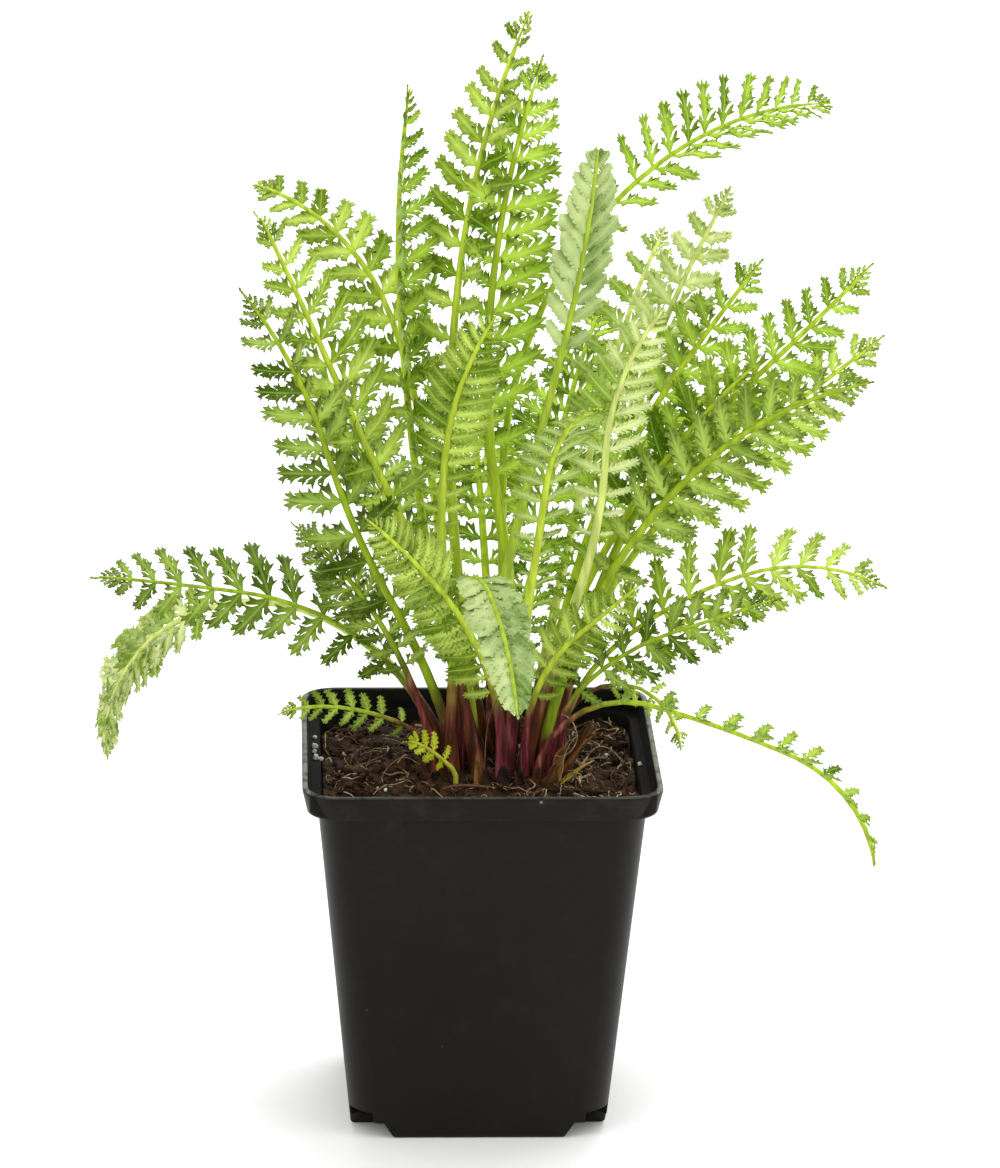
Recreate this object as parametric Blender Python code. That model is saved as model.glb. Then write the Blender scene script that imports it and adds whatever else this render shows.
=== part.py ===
# Potted yarrow: a square nursery pot, its fill of peat, and the feathery fronds of one young plant.
# Lengths here are in millimetres and angles in degrees; MM turns a length into metres.
# The origin is the middle of the pot's underside, the front of the pot faces -Y, and +Z is up.

import math
import random
from collections import namedtuple

import bmesh
import bpy
from mathutils import Matrix, Vector
from mathutils.bvhtree import BVHTree

MM = 0.001
FIT_GAP = 0.3

# Pot: a nine centimetre square pot that steps out to a collar with a thin lip
RIM_HALF = 45.0
RIM_CORNER = 9.0
POT_HEIGHT = 95.5
COLLAR_DROP = 6.6
COLLAR_TAPER = 1.3
COLLAR_WALL = 1.3
LIP_WALL = 1.6
LIP_ROUND = 0.6
LEDGE_THICKNESS = 1.3
BODY_TOP_HALF = 41.7
BODY_BASE_HALF = 32.4
BODY_CORNER = 8.0
BASE_ROUND = 1.0
WALL = 1.1
CORNER_STEPS = 4

# Underside: a cross-shaped foot left by four lifted corners, each with a drain slot
FOOT_HALF = 21.5
FOOT_SLOPE = 2.7
CORNER_LIFT = 4.2
DRAIN_WIDTH = 8.0
DRAIN_RISE = 3.0

# Peat
SOIL_LEVEL = 88.0
SOIL_MOUND = 1.6
SOIL_BUMP = 0.7
SOIL_RINGS = (0.985, 0.82, 0.62, 0.4, 0.18)
SOIL_SHOULDER = 1.5
SOIL_ROUNDING = 6.0
HOLE_DEPTH = 9.2
HOLE_GAP = 0.35

# Stalks: a three-sided section, flat on top, that thins evenly from root to tip. Each stands upright up to
# ROOT_RISE above the peat, and ROOT_TOP is just under the point where it starts to lean.
ROOT_DEPTH = 8.6
ROOT_RISE = 2.4
ROOT_TOP = -0.01
TIP_WIDTH = 0.9
STALK_DEPTH = 0.85
SPINE_STEPS = 60
STALK_STATIONS = 4

# Leaflets: one cut outline, arched, as thick as the leaf
LEAF_THICKNESS = 0.65
LEAFLET_BASE = 0.38
LOBE_AT, LOBE_OUT = 0.44, 0.24
NOTCH_AT, NOTCH_OUT = 0.64, 0.10
LEAFLET_ARCH = 0.10
CLEAR_THICKNESS = 1.5
CLEAR_START = 0.14
CLEAR_TILTS = (0, 14, -14, 28, -28, 42, -42)
CLEAR_LENGTHS = (1.0, 0.82, 0.66, 0.5, 0.36)

# Each frond: where its stalk leaves the peat, the compass heading it bends towards (0 is +X, 90 is
# away from the front), its lean from upright at the root, at one and two thirds of its length and at
# its tip, its length, its stalk's width at the root, the share of it that bears leaflets, the longest
# leaflet, the pairs of leaflets, the heading and height that its upper side looks to, the lift of its
# leaflets out of flat, and its tint.
Frond = namedtuple(
    "Frond",
    "name x y heading leans length girth blade leaflet pairs face lift tint",
)

FRONDS = (
    Frond("tall_back", 2, 8, 10, (-12, -4, 7, 23), 194, 3, 0.50, 12, 10, (-125, 0), 32, "light"),
    Frond("tall_centre", 6.2, 3.5, 15, (9, -11, 5, 19), 180, 3.3, 0.55, 16, 12, (-85, 5), 8, "fresh"),
    Frond("tall_left", 0, 4, 180, (19, 9, 4, -8), 174, 2.5, 0.64, 13, 11, (-30, 0), 42, "fresh"),
    Frond("left_arching", -3.9, 8.5, 150, (8, 7, 21, 82), 164, 2.7, 0.48, 12, 9, (-70, 35), 10, "light"),
    Frond("mid_lacy", -0.4, -6.6, -8, (-15, -8, 5, 32), 120, 3.1, 0.42, 10, 8, (-100, 10), 8, "light"),
    Frond("left_second", -2, 0, 190, (0, 27, 23, 25), 153, 3.2, 0.60, 15, 10, (-60, 10), 26, "light"),
    Frond("left_outer", -5.7, -4, 198, (15, 29, 17, 37), 138, 2.4, 0.66, 15, 9, (-75, 10), 6, "deep"),
    Frond("left_level", -10.1, -4, 190, (11, 48, 79, 82), 110, 1.7, 0.72, 14.5, 9, (-80, 40), 10, "deep"),
    Frond("left_drooping", -9, 8.5, 168, (22, 65, 124, 183), 129, 2.3, 0.40, 12, 8, (200, 20), 8, "pale"),
    Frond("left_low", -9.3, 1, 175, (35, 69, 85, 108), 45, 1.3, 0.72, 6, 7, (-80, 50), 10, "light"),
    Frond("grey_upright", 7, -1, -20, (-12, 13, 14, 5), 162, 2.9, 0.32, 11, 10, (-70, 0), 4, "grey"),
    Frond("right_arching", 8.5, 10, 30, (-6, 1, 50, 97), 218, 2.8, 0.36, 14, 10, (-90, 45), 38, "fresh"),
    Frond("right_pale", 17, 9, 40, (12, 20, 28, 40), 151, 2.8, 0.50, 12, 8, (-90, 20), 10, "pale"),
    Frond("back_pale", 13.6, 13.5, 60, (21, 26, 31, 54), 141, 2.6, 0.50, 11, 7, (-90, 20), 10, "pale"),
    Frond("right_upper", 15.3, 4.5, 30, (8, 19, 40, 46), 139, 2.7, 0.60, 14, 9, (-80, 25), 8, "fresh"),
    Frond("right_long", 18.1, 0, 10, (11, 22, 49, 45), 152, 2.7, 0.62, 14, 10, (-80, 20), 8, "fresh"),
    Frond("right_middle", 15.6, -4.5, 0, (9, 26, 48, 78), 136, 2.7, 0.62, 12.5, 9, (-80, 25), 8, "deep"),
    Frond("right_level", 19.8, -4, 0, (3, 49, 71, 116), 107, 1.8, 0.72, 14.5, 9, (-85, 40), 10, "light"),
    Frond("right_lower", 17.7, -8.5, -10, (0, 45, 69, 68), 79, 1.6, 0.72, 11, 8, (-85, 45), 10, "deep"),
    Frond("right_trailing", 14.6, -13, -5, (9, 105, 113, 172), 113, 1.7, 0.74, 8, 9, (175, 86), 42, "fresh"),
    Frond("front_drooping", -7, -10, -78, (-8, 20, 101, 149), 117, 2.6, 0.44, 10, 9, (102, 70), 4, "grey"),
    Frond("front_left", 5.2, -13.5, 205, (-4, 21, 40, 48), 83, 2.3, 0.74, 11, 9, (-80, 20), 6, "light"),
    Frond("front_right", 11.6, -9.5, -20, (-6, 21, 48, 46), 61, 1.9, 0.70, 8, 7, (-90, 20), 8, "light"),
    Frond("mid_pale", 11.8, -5.2, -5, (11, 20, 2, 38), 125, 3.1, 0.42, 10, 7, (-85, 5), 8, "pale"),
    Frond("front_curled", 7.4, -9.2, -62, (8, 14, 13, 76), 118, 2.8, 0.42, 10, 7, (118, 60), 10, "light"),
    Frond("right_inner", 12.5, 0, 5, (10, 23, 35, 48), 118, 2.6, 0.56, 12, 7, (-90, 15), 8, "fresh"),
    Frond("right_behind", 20, 4, 20, (5, 35, 57, 58), 139, 2.4, 0.56, 14, 8, (-80, 30), 8, "light"),
    Frond("back_right", 9.5, 14, 70, (14, 27, 44, 62), 124, 2.5, 0.62, 14, 8, (250, 60), 10, "fresh"),
    Frond("back_middle", 4, 13, 95, (16, 31, 48, 66), 118, 2.5, 0.62, 14, 8, (275, 60), 10, "fresh"),
    Frond("back_left", -2, 13, 125, (18, 35, 53, 70), 116, 2.5, 0.62, 14, 8, (305, 60), 10, "deep"),
    Frond("back_low", 7, 18, 80, (38, 63, 84, 104), 96, 2, 0.70, 12, 7, (260, 70), 12, "deep"),
    Frond("right_short", 21.9, 8.5, 0, (-11, 59, 128, 176), 51, 1.3, 0.56, 5, 5, (-80, 30), 10, "light"),
    Frond("inner_left", -11.2, -8.6, 185, (10, 23, 35, 48), 74, 1.8, 0.64, 10, 7, (-80, 30), 8, "deep"),
    Frond("young", -6.2, -15.6, 187, (46, 46, 56, 76), 15, 1.3, 0.72, 5, 4, (-90, 55), 20, "young"),
)

TINTS = {
    "deep": (0.12, 0.26, 0.05),
    "fresh": (0.20, 0.38, 0.08),
    "light": (0.32, 0.50, 0.13),
    "pale": (0.48, 0.62, 0.28),
    "grey": (0.30, 0.42, 0.24),
    "young": (0.45, 0.62, 0.06),
}


def clear_scene():
    for thing in list(bpy.data.objects):
        bpy.data.objects.remove(thing, do_unlink=True)


def principled(name, colour, roughness, metallic=0.0):
    material = bpy.data.materials.new(name)
    material.use_nodes = True
    shader = material.node_tree.nodes["Principled BSDF"]
    shader.inputs["Base Color"].default_value = (*colour, 1.0)
    shader.inputs["Roughness"].default_value = roughness
    shader.inputs["Metallic"].default_value = metallic
    return material


def object_from(name, shape, material=None):
    """One object from a bmesh in millimetres, with its faces turned outwards."""
    bmesh.ops.recalc_face_normals(shape, faces=shape.faces)
    bmesh.ops.scale(shape, vec=(MM, MM, MM), verts=shape.verts)
    mesh = bpy.data.meshes.new(name)
    shape.to_mesh(mesh)
    shape.free()
    made = bpy.data.objects.new(name, mesh)
    bpy.context.collection.objects.link(made)
    if material:
        mesh.materials.append(material)
    return made


def cut(target, cutter, crossing=False):
    """Subtracts the cutter from the target and removes it. Crossing cutters may meet each other."""
    cutter.hide_render = True
    cutter.display_type = "WIRE"
    boolean = target.modifiers.new("cut", "BOOLEAN")
    boolean.operation = "DIFFERENCE"
    boolean.solver = "EXACT"
    boolean.use_self = crossing
    boolean.object = cutter
    bpy.context.view_layer.objects.active = target
    bpy.ops.object.modifier_apply(modifier=boolean.name)
    bpy.data.objects.remove(cutter, do_unlink=True)


def rounded_square(half, corner, z):
    """Points anticlockwise round a square of this half width with rounded corners."""
    points = []
    for turn in range(4):
        middle = math.radians(45 + 90 * turn)
        reach = (half - corner) * math.sqrt(2)
        for step in range(CORNER_STEPS + 1):
            angle = middle + math.radians(90 * step / CORNER_STEPS - 45)
            x = reach * math.cos(middle) + corner * math.cos(angle)
            y = reach * math.sin(middle) + corner * math.sin(angle)
            points.append(Vector((x, y, z)))
    return points


def loft(rings):
    """A closed shape through rings of equal point counts, capped at both ends."""
    shape = bmesh.new()
    loops = [[shape.verts.new(point) for point in ring] for ring in rings]
    count = len(loops[0])
    for lower, upper in zip(loops, loops[1:]):
        for k in range(count):
            after = (k + 1) % count
            shape.faces.new((lower[k], lower[after], upper[after], upper[k]))
    shape.faces.new(loops[0][::-1])
    shape.faces.new(loops[-1])
    return shape


def body_half(z):
    """Half width of the pot's tapered body at a height."""
    return BODY_BASE_HALF + (BODY_TOP_HALF - BODY_BASE_HALF) * z / POT_HEIGHT


def corner_blocks(inset):
    """The four lifted corners of the underside, grown inwards by the inset."""
    shape = bmesh.new()
    far = BODY_BASE_HALF + 8
    for sx, sy in ((1, 1), (-1, 1), (-1, -1), (1, -1)):
        loops = []
        slope = FOOT_SLOPE / CORNER_LIFT
        for z in (-2.0, CORNER_LIFT + inset):
            near = FOOT_HALF + slope * z - inset * math.hypot(1, slope)
            square = ((near, near), (far, near), (far, far), (near, far))
            loops.append([shape.verts.new((sx * x, sy * y, z)) for x, y in square])
        for k in range(4):
            after = (k + 1) % 4
            shape.faces.new((loops[0][k], loops[0][after], loops[1][after], loops[1][k]))
        shape.faces.new(loops[0][::-1])
        shape.faces.new(loops[1])
    return object_from("corner_cutter", shape)


def make_pot():
    corner = BODY_CORNER
    step = POT_HEIGHT - COLLAR_DROP
    rings = [
        rounded_square(BODY_BASE_HALF - BASE_ROUND, corner - BASE_ROUND, 0),
        rounded_square(body_half(BASE_ROUND), corner, BASE_ROUND),
        rounded_square(body_half(step), corner, step),
        rounded_square(RIM_HALF - COLLAR_TAPER, RIM_CORNER - COLLAR_TAPER, step),
        rounded_square(RIM_HALF, RIM_CORNER, POT_HEIGHT - LIP_ROUND),
        rounded_square(RIM_HALF - LIP_ROUND, RIM_CORNER - LIP_ROUND, POT_HEIGHT),
    ]
    pot = object_from("pot", loft(rings), principled("black_plastic", (0.022, 0.022, 0.021), 0.42))
    cut(pot, corner_blocks(0))
    cut(pot, pot_cavity())
    cut(pot, drain_slots())
    pot.data.shade_smooth()
    pot.data.set_sharp_from_angle(angle=math.radians(35))
    return pot


def pot_cavity():
    """The hollow: the body, the ledge over the step, the collar and the lip's inner round."""
    corner = BODY_CORNER - WALL
    ledge = POT_HEIGHT - COLLAR_DROP + LEDGE_THICKNESS
    lip = RIM_HALF - LIP_WALL
    collar = RIM_HALF - COLLAR_TAPER - COLLAR_WALL
    rings = [
        rounded_square(body_half(WALL) - WALL - BASE_ROUND, corner - BASE_ROUND, WALL),
        rounded_square(body_half(WALL + BASE_ROUND) - WALL, corner, WALL + BASE_ROUND),
        rounded_square(body_half(ledge) - WALL, corner, ledge),
        rounded_square(collar, RIM_CORNER - COLLAR_TAPER - COLLAR_WALL, ledge),
        rounded_square(lip, RIM_CORNER - LIP_WALL, POT_HEIGHT - LIP_ROUND),
        rounded_square(lip + LIP_ROUND, RIM_CORNER - LIP_WALL + LIP_ROUND, POT_HEIGHT + LIP_ROUND),
    ]
    cavity = object_from("cavity_cutter", loft(rings))
    cut(cavity, corner_blocks(WALL))
    return cavity


def drain_slots():
    """One slot through the floor and wall at each lifted corner."""
    shape = bmesh.new()
    reach = BODY_BASE_HALF * math.sqrt(2) - 4.5
    for turn in range(4):
        angle = math.radians(45 + 90 * turn)
        place = Matrix.Translation((reach * math.cos(angle), reach * math.sin(angle), CORNER_LIFT))
        size = Matrix.Diagonal((9.0, DRAIN_WIDTH, 2 * DRAIN_RISE, 1))
        bmesh.ops.create_cube(shape, size=1, matrix=place @ Matrix.Rotation(angle, 4, "Z") @ size)
    return object_from("drain_cutter", shape)


def soil_height(x, y):
    """A shallow mound with a few broad bumps."""
    away = min(1.0, math.hypot(x, y) / BODY_TOP_HALF)
    bumps = math.sin(0.31 * x + 1.3) * math.cos(0.27 * y) + 0.6 * math.sin(0.19 * (x - y))
    return SOIL_LEVEL + SOIL_MOUND * (1 - away**2) + SOIL_BUMP * bumps


def make_soil(fronds):
    inset = WALL + FIT_GAP
    corner = BODY_CORNER - inset
    edge = SOIL_LEVEL - SOIL_SHOULDER
    top_half = body_half(edge) - inset
    rings = [
        rounded_square(body_half(inset) - inset - BASE_ROUND, corner - BASE_ROUND, inset),
        rounded_square(body_half(inset + BASE_ROUND) - inset, corner, inset + BASE_ROUND),
        rounded_square(top_half, corner, edge),
    ]
    for share in SOIL_RINGS:
        ring = rounded_square(top_half * share, corner * share + SOIL_ROUNDING * (1 - share) * share, 0)
        for point in ring:
            point.z = soil_height(point.x, point.y)
        rings.append(ring)
    soil = object_from("soil", loft(rings), principled("peat", (0.055, 0.030, 0.018), 0.95))
    cut(soil, corner_blocks(inset))
    cut(soil, stalk_holes(fronds), crossing=True)
    return soil


def stalk_holes(fronds):
    """Plain three-sided holes in the peat, one for each stalk."""
    shape = bmesh.new()
    for frond in fronds:
        spine = Spine(frond)
        loops = []
        for reach in (-HOLE_DEPTH, ROOT_TOP):
            loops.append([shape.verts.new(p) for p in spine.section(reach, HOLE_GAP)])
        for k in range(3):
            after = (k + 1) % 3
            shape.faces.new((loops[0][k], loops[0][after], loops[1][after], loops[1][k]))
        shape.faces.new(loops[0][::-1])
        shape.faces.new(loops[1])
    return object_from("hole_cutter", shape)


class Spine:
    """The middle line of a frond, and the frame of its blade along it."""

    def __init__(self, frond):
        self.frond = frond
        heading = math.radians(frond.heading)
        self.outwards = Vector((math.cos(heading), math.sin(heading), 0))
        azimuth, height = (math.radians(a) for a in frond.face)
        self.face = Vector(
            (
                math.cos(azimuth) * math.cos(height),
                math.sin(azimuth) * math.cos(height),
                math.sin(height),
            )
        )
        step = frond.length / SPINE_STEPS
        point = Vector((frond.x, frond.y, soil_height(frond.x, frond.y) + ROOT_RISE))
        self.points = [point.copy()]
        for k in range(SPINE_STEPS):
            point = point + step * self.direction((k + 0.5) / SPINE_STEPS)
            self.points.append(point)

    def direction(self, share):
        """The way the stalk grows at a share of its length; its root stands upright."""
        if share < 0:
            return Vector((0, 0, 1))
        leans = self.frond.leans
        place = min(share, 1) * (len(leans) - 1)
        k = min(int(place), len(leans) - 2)
        lean = math.radians(leans[k] + (leans[k + 1] - leans[k]) * (place - k))
        return math.sin(lean) * self.outwards + Vector((0, 0, math.cos(lean)))

    def point(self, reach):
        """The point this far along the stalk; below zero is the upright root."""
        if reach <= 0:
            return self.points[0] + Vector((0, 0, reach))
        place = min(reach / self.frond.length, 1) * SPINE_STEPS
        k = min(int(place), SPINE_STEPS - 1)
        return self.points[k].lerp(self.points[k + 1], place - k)

    def frame(self, reach):
        """Tangent, upper side and left side of the blade."""
        tangent = self.direction(reach / self.frond.length)
        upper = (self.face - self.face.dot(tangent) * tangent).normalized()
        return tangent, upper, upper.cross(tangent)

    def width(self, reach):
        share = min(max(reach / self.frond.length, 0), 1)
        return self.frond.girth + (TIP_WIDTH - self.frond.girth) * share

    def section(self, reach, grow=0.0):
        """Left, right and keel corners of the stalk."""
        tangent, upper, left = self.frame(reach)
        half = 0.5 * self.width(reach)
        depth = 2 * half * STALK_DEPTH
        middle = self.point(reach) + (0.4 * depth + 0.6 * grow) * upper
        side = half + 1.9 * grow
        keel = middle - (depth + 2.6 * grow) * upper
        return middle + side * left, middle - side * left, keel


def pairs_along(frond):
    """Where each pair of leaflets starts and ends along the stalk, and how far up the blade it is."""
    blade = frond.length * frond.blade
    pitch = blade / frond.pairs
    start = frond.length - blade - 0.35 * pitch
    for k in range(frond.pairs):
        middle = start + (k + 0.5) * pitch
        half = 0.5 * LEAFLET_BASE * pitch
        yield middle - half, middle + half, (k + 0.5) / frond.pairs


def leaflet_size(frond, up, rng):
    """Length and sweep of a leaflet by its place on the blade: longest below the middle."""
    swell = math.sin(math.pi * (0.16 + 0.78 * up)) ** 0.75
    length = frond.leaflet * swell * rng.uniform(0.93, 1.05)
    sweep = 76 - 26 * up + rng.uniform(-4, 4)
    return length, sweep, rng.uniform(-6, 6)


class Leaflet:
    """One cut leaflet in its own plane, beside the stalk between two reaches."""

    def __init__(self, spine, start, end, side, length, sweep, tilt):
        tangent, upper, left = spine.frame(0.5 * (start + end))
        out = math.cos(tilt) * side * left + math.sin(tilt) * upper
        self.axis = math.cos(sweep) * tangent + math.sin(sweep) * out
        self.across = (tangent - tangent.dot(self.axis) * self.axis).normalized()
        self.up = self.axis.cross(self.across)
        if self.up.dot(upper) < 0:
            self.up = -self.up
        corner = 0 if side > 0 else 1
        first, last = spine.section(start), spine.section(end)
        self.base = (first[corner], last[corner])
        self.middle = 0.5 * (first[corner] + last[corner])
        self.length = length

    def at(self, along, across, raised=0.0):
        size = self.length
        drop = LEAFLET_ARCH * size * along**2
        return (
            self.middle
            + along * size * self.axis
            + across * size * self.across
            + (raised - drop) * self.up
        )

    def cut_edge(self, raised=0.0, grow=1.0):
        """The lobes, notches and tip, from the root side of the leaflet round to its tip side."""
        lobe, notch = LOBE_OUT * grow, NOTCH_OUT * grow
        return [
            self.at(LOBE_AT, -lobe, raised),
            self.at(NOTCH_AT, -notch, raised),
            self.at(grow, 0.02, raised),
            self.at(NOTCH_AT + 0.03, notch, raised),
            self.at(LOBE_AT + 0.04, lobe, raised),
        ]

    def clearance_tree(self):
        """The leaflet without its root, thicker and a little larger, to test against the others."""
        spare = 0.5 * (CLEAR_THICKNESS - LEAF_THICKNESS)
        start = max(CLEAR_START, 1.2 / self.length)
        points = []
        for raised in (spare, -LEAF_THICKNESS - spare):
            points.append(self.at(start, -0.1, raised))
            points += self.cut_edge(raised, 1.07)
            points.append(self.at(start, 0.1, raised))
        return BVHTree.FromPolygons(points, LEAFLET_SHELL), points


# Triangles of a leaflet's seven points, from its root corner round the cut edge to its other corner
LEAFLET_FACE = ((0, 1, 2), (0, 2, 4), (0, 4, 6), (6, 4, 5), (2, 3, 4))
LEAFLET_SHELL = (
    list(LEAFLET_FACE)
    + [tuple(k + 7 for k in reversed(face)) for face in LEAFLET_FACE]
    + [(k, (k + 1) % 7, (k + 1) % 7 + 7, k + 7) for k in range(7)]
)


class Crowd:
    """What already stands in the way of a new leaflet."""

    def __init__(self):
        self.trees = []

    def add(self, tree, points):
        low = [min(p[axis] for p in points) for axis in range(3)]
        high = [max(p[axis] for p in points) for axis in range(3)]
        self.trees.append((tree, low, high))

    def meets(self, tree, points):
        low = [min(p[axis] for p in points) for axis in range(3)]
        high = [max(p[axis] for p in points) for axis in range(3)]
        for other, other_low, other_high in self.trees:
            if any(low[a] > other_high[a] or high[a] < other_low[a] for a in range(3)):
                continue
            if tree.overlap(other):
                return True
        return False


def stations(frond):
    """Reaches of the stalk's cross-sections, from under the peat to the end leaflet."""
    bases = list(pairs_along(frond))
    reaches = [-ROOT_DEPTH, ROOT_TOP]
    reaches += [bases[0][0] * k / STALK_STATIONS for k in range(1, STALK_STATIONS)]
    for start, end, _ in bases:
        reaches += [start, end]
    return reaches


def stalk_shape(spine):
    """Points and faces of the bare stalk."""
    reaches = stations(spine.frond) + [spine.frond.length]
    points = [corner for reach in reaches for corner in spine.section(reach)]
    faces = []
    for k in range(len(reaches) - 1):
        for corner in range(3):
            a, b = 3 * k + corner, 3 * k + (corner + 1) % 3
            faces.append((a, b, b + 3, a + 3))
    return points, faces


def settle(spine, start, end, side, size, crowd):
    """The leaflet turned and, if it must be, shortened until it is clear, or None."""
    length, sweep, jitter = size
    for share in CLEAR_LENGTHS:
        for tilt in CLEAR_TILTS:
            lift = math.radians(spine.frond.lift + jitter + tilt)
            leaflet = Leaflet(spine, start, end, side, share * length, math.radians(sweep), lift)
            tree, points = leaflet.clearance_tree()
            if not crowd.meets(tree, points):
                return leaflet
    return None


def add_leaflet(shape, corners, leaflet):
    """Grows a leaflet from one side of the stalk; corners are its top pair and its keel pair."""
    first, last, keel_first, keel_last = corners
    upper = [first] + [shape.verts.new(p) for p in leaflet.cut_edge()] + [last]
    lower = [keel_first]
    lower += [shape.verts.new(p) for p in leaflet.cut_edge(-LEAF_THICKNESS)]
    lower.append(keel_last)
    for a, b, c in LEAFLET_FACE:
        shape.faces.new((upper[a], upper[b], upper[c]))
        shape.faces.new((lower[c], lower[b], lower[a]))
    for k in range(6):
        shape.faces.new((upper[k], lower[k], lower[k + 1], upper[k + 1]))


def add_end_leaflet(shape, ring, spine, reach):
    """Closes the tip with a small three-lobed leaflet."""
    frond = spine.frond
    tangent, upper, left = spine.frame(reach)
    middle = spine.point(reach)
    size = 0.42 * frond.leaflet
    lower = -LEAF_THICKNESS * upper
    outline = [
        middle + size * (0.45 * tangent + 0.36 * left),
        middle + size * tangent,
        middle + size * (0.45 * tangent - 0.36 * left),
    ]
    top = [ring[0]] + [shape.verts.new(p) for p in outline] + [ring[1]]
    under = [shape.verts.new(p + lower) for p in outline]
    shape.faces.new((top[0], top[1], top[2]))
    shape.faces.new((top[0], top[2], top[4]))
    shape.faces.new((top[4], top[2], top[3]))
    shape.faces.new((ring[2], under[1], under[0]))
    shape.faces.new((ring[2], under[2], under[1]))
    shape.faces.new((top[0], ring[2], under[0], top[1]))
    shape.faces.new((top[1], under[0], under[1], top[2]))
    shape.faces.new((top[2], under[1], under[2], top[3]))
    shape.faces.new((top[3], under[2], ring[2], top[4]))


def make_frond(spine, crowd, material, seed):
    """One frond: its stalk and its leaflets, each clear of all that was placed before."""
    frond = spine.frond
    rng = random.Random(seed)
    shape = bmesh.new()
    rings = [[shape.verts.new(p) for p in spine.section(reach)] for reach in stations(frond)]
    shape.faces.new(rings[0])
    first_pair = STALK_STATIONS + 1
    bases = list(pairs_along(frond))
    for k in range(len(rings) - 1):
        a, b = rings[k], rings[k + 1]
        shape.faces.new((a[0], a[1], b[1], b[0]))
        pair = (k - first_pair) // 2 if k >= first_pair and (k - first_pair) % 2 == 0 else None
        for side, corner in ((1, 0), (-1, 1)):
            leaflet = None
            if pair is not None:
                start, end, up = bases[pair]
                size = leaflet_size(frond, up, rng)
                leaflet = settle(spine, start, end, side, size, crowd)
            if leaflet is None:
                shape.faces.new((a[corner], b[corner], b[2], a[2]))
                continue
            add_leaflet(shape, (a[corner], b[corner], a[2], b[2]), leaflet)
            points = [*leaflet.cut_edge(), leaflet.base[0], leaflet.base[1]]
            points += leaflet.cut_edge(-LEAF_THICKNESS)
            faces = [(0, 1, 2, 3, 4), (5, 0, 4, 6), (7, 8, 9, 10, 11), (5, 7, 11, 6)]
            crowd.add(BVHTree.FromPolygons(points, faces), points)
    add_end_leaflet(shape, rings[-1], spine, stations(frond)[-1])
    return object_from(f"frond_{frond.name}", shape, material)


def surface_tree(target):
    points = [vertex.co / MM for vertex in target.data.vertices]
    faces = [tuple(polygon.vertices) for polygon in target.data.polygons]
    return BVHTree.FromPolygons(points, faces), points


def main():
    clear_scene()
    crowd = Crowd()
    crowd.add(*surface_tree(make_pot()))
    crowd.add(*surface_tree(make_soil(FRONDS)))
    spines = [Spine(frond) for frond in FRONDS]
    for spine in spines:
        points, faces = stalk_shape(spine)
        crowd.add(BVHTree.FromPolygons(points, faces), points)
    materials = {
        tint: principled(f"leaf_{tint}", colour, 0.6) for tint, colour in TINTS.items()
    }
    for seed, spine in enumerate(spines):
        make_frond(spine, crowd, materials[spine.frond.tint], seed)


main()
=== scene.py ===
# Potted yarrow in a square nursery pot: the looks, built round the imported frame
import math
import random

import bmesh
import bpy
from mathutils import Matrix, Vector, noise
from mathutils.kdtree import KDTree


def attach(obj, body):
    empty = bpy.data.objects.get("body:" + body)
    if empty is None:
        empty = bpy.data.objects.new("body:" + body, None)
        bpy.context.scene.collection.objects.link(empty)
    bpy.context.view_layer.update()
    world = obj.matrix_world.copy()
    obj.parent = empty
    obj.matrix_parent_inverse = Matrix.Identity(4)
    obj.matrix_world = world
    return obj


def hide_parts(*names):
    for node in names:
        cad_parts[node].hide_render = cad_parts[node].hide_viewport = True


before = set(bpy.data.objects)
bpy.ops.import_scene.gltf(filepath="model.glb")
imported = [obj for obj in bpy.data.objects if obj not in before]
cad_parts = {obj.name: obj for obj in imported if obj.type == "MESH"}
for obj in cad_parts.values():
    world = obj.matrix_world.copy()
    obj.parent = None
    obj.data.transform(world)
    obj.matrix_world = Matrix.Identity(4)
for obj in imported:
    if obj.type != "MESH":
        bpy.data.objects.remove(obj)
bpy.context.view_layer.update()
mm = 0.001


def deselectAll():
    if bpy.context.mode != "OBJECT":
        bpy.ops.object.mode_set(mode="OBJECT")
    bpy.ops.object.select_all(action="DESELECT")


def useAlone(piece):
    deselectAll()
    piece.select_set(True)
    bpy.context.view_layer.objects.active = piece


def copyOf(piece):
    twin = piece.copy()
    twin.data = piece.data.copy()
    bpy.context.collection.objects.link(twin)
    return twin


def joined(pieces, name):
    useAlone(pieces[0])
    for piece in pieces:
        piece.select_set(True)
    if len(pieces) > 1:
        bpy.ops.object.join()
    pieces[0].name = name
    return pieces[0]


def applyModifier(piece, kind, **settings):
    useAlone(piece)
    modifier = piece.modifiers.new(kind.lower(), kind)
    for key, value in settings.items():
        setattr(modifier, key, value)
    bpy.ops.object.modifier_apply(modifier=modifier.name)


def addPiece(piece, nodes):
    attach(piece, "root")
    if nodes:
        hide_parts(*nodes)
    return piece


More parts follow.
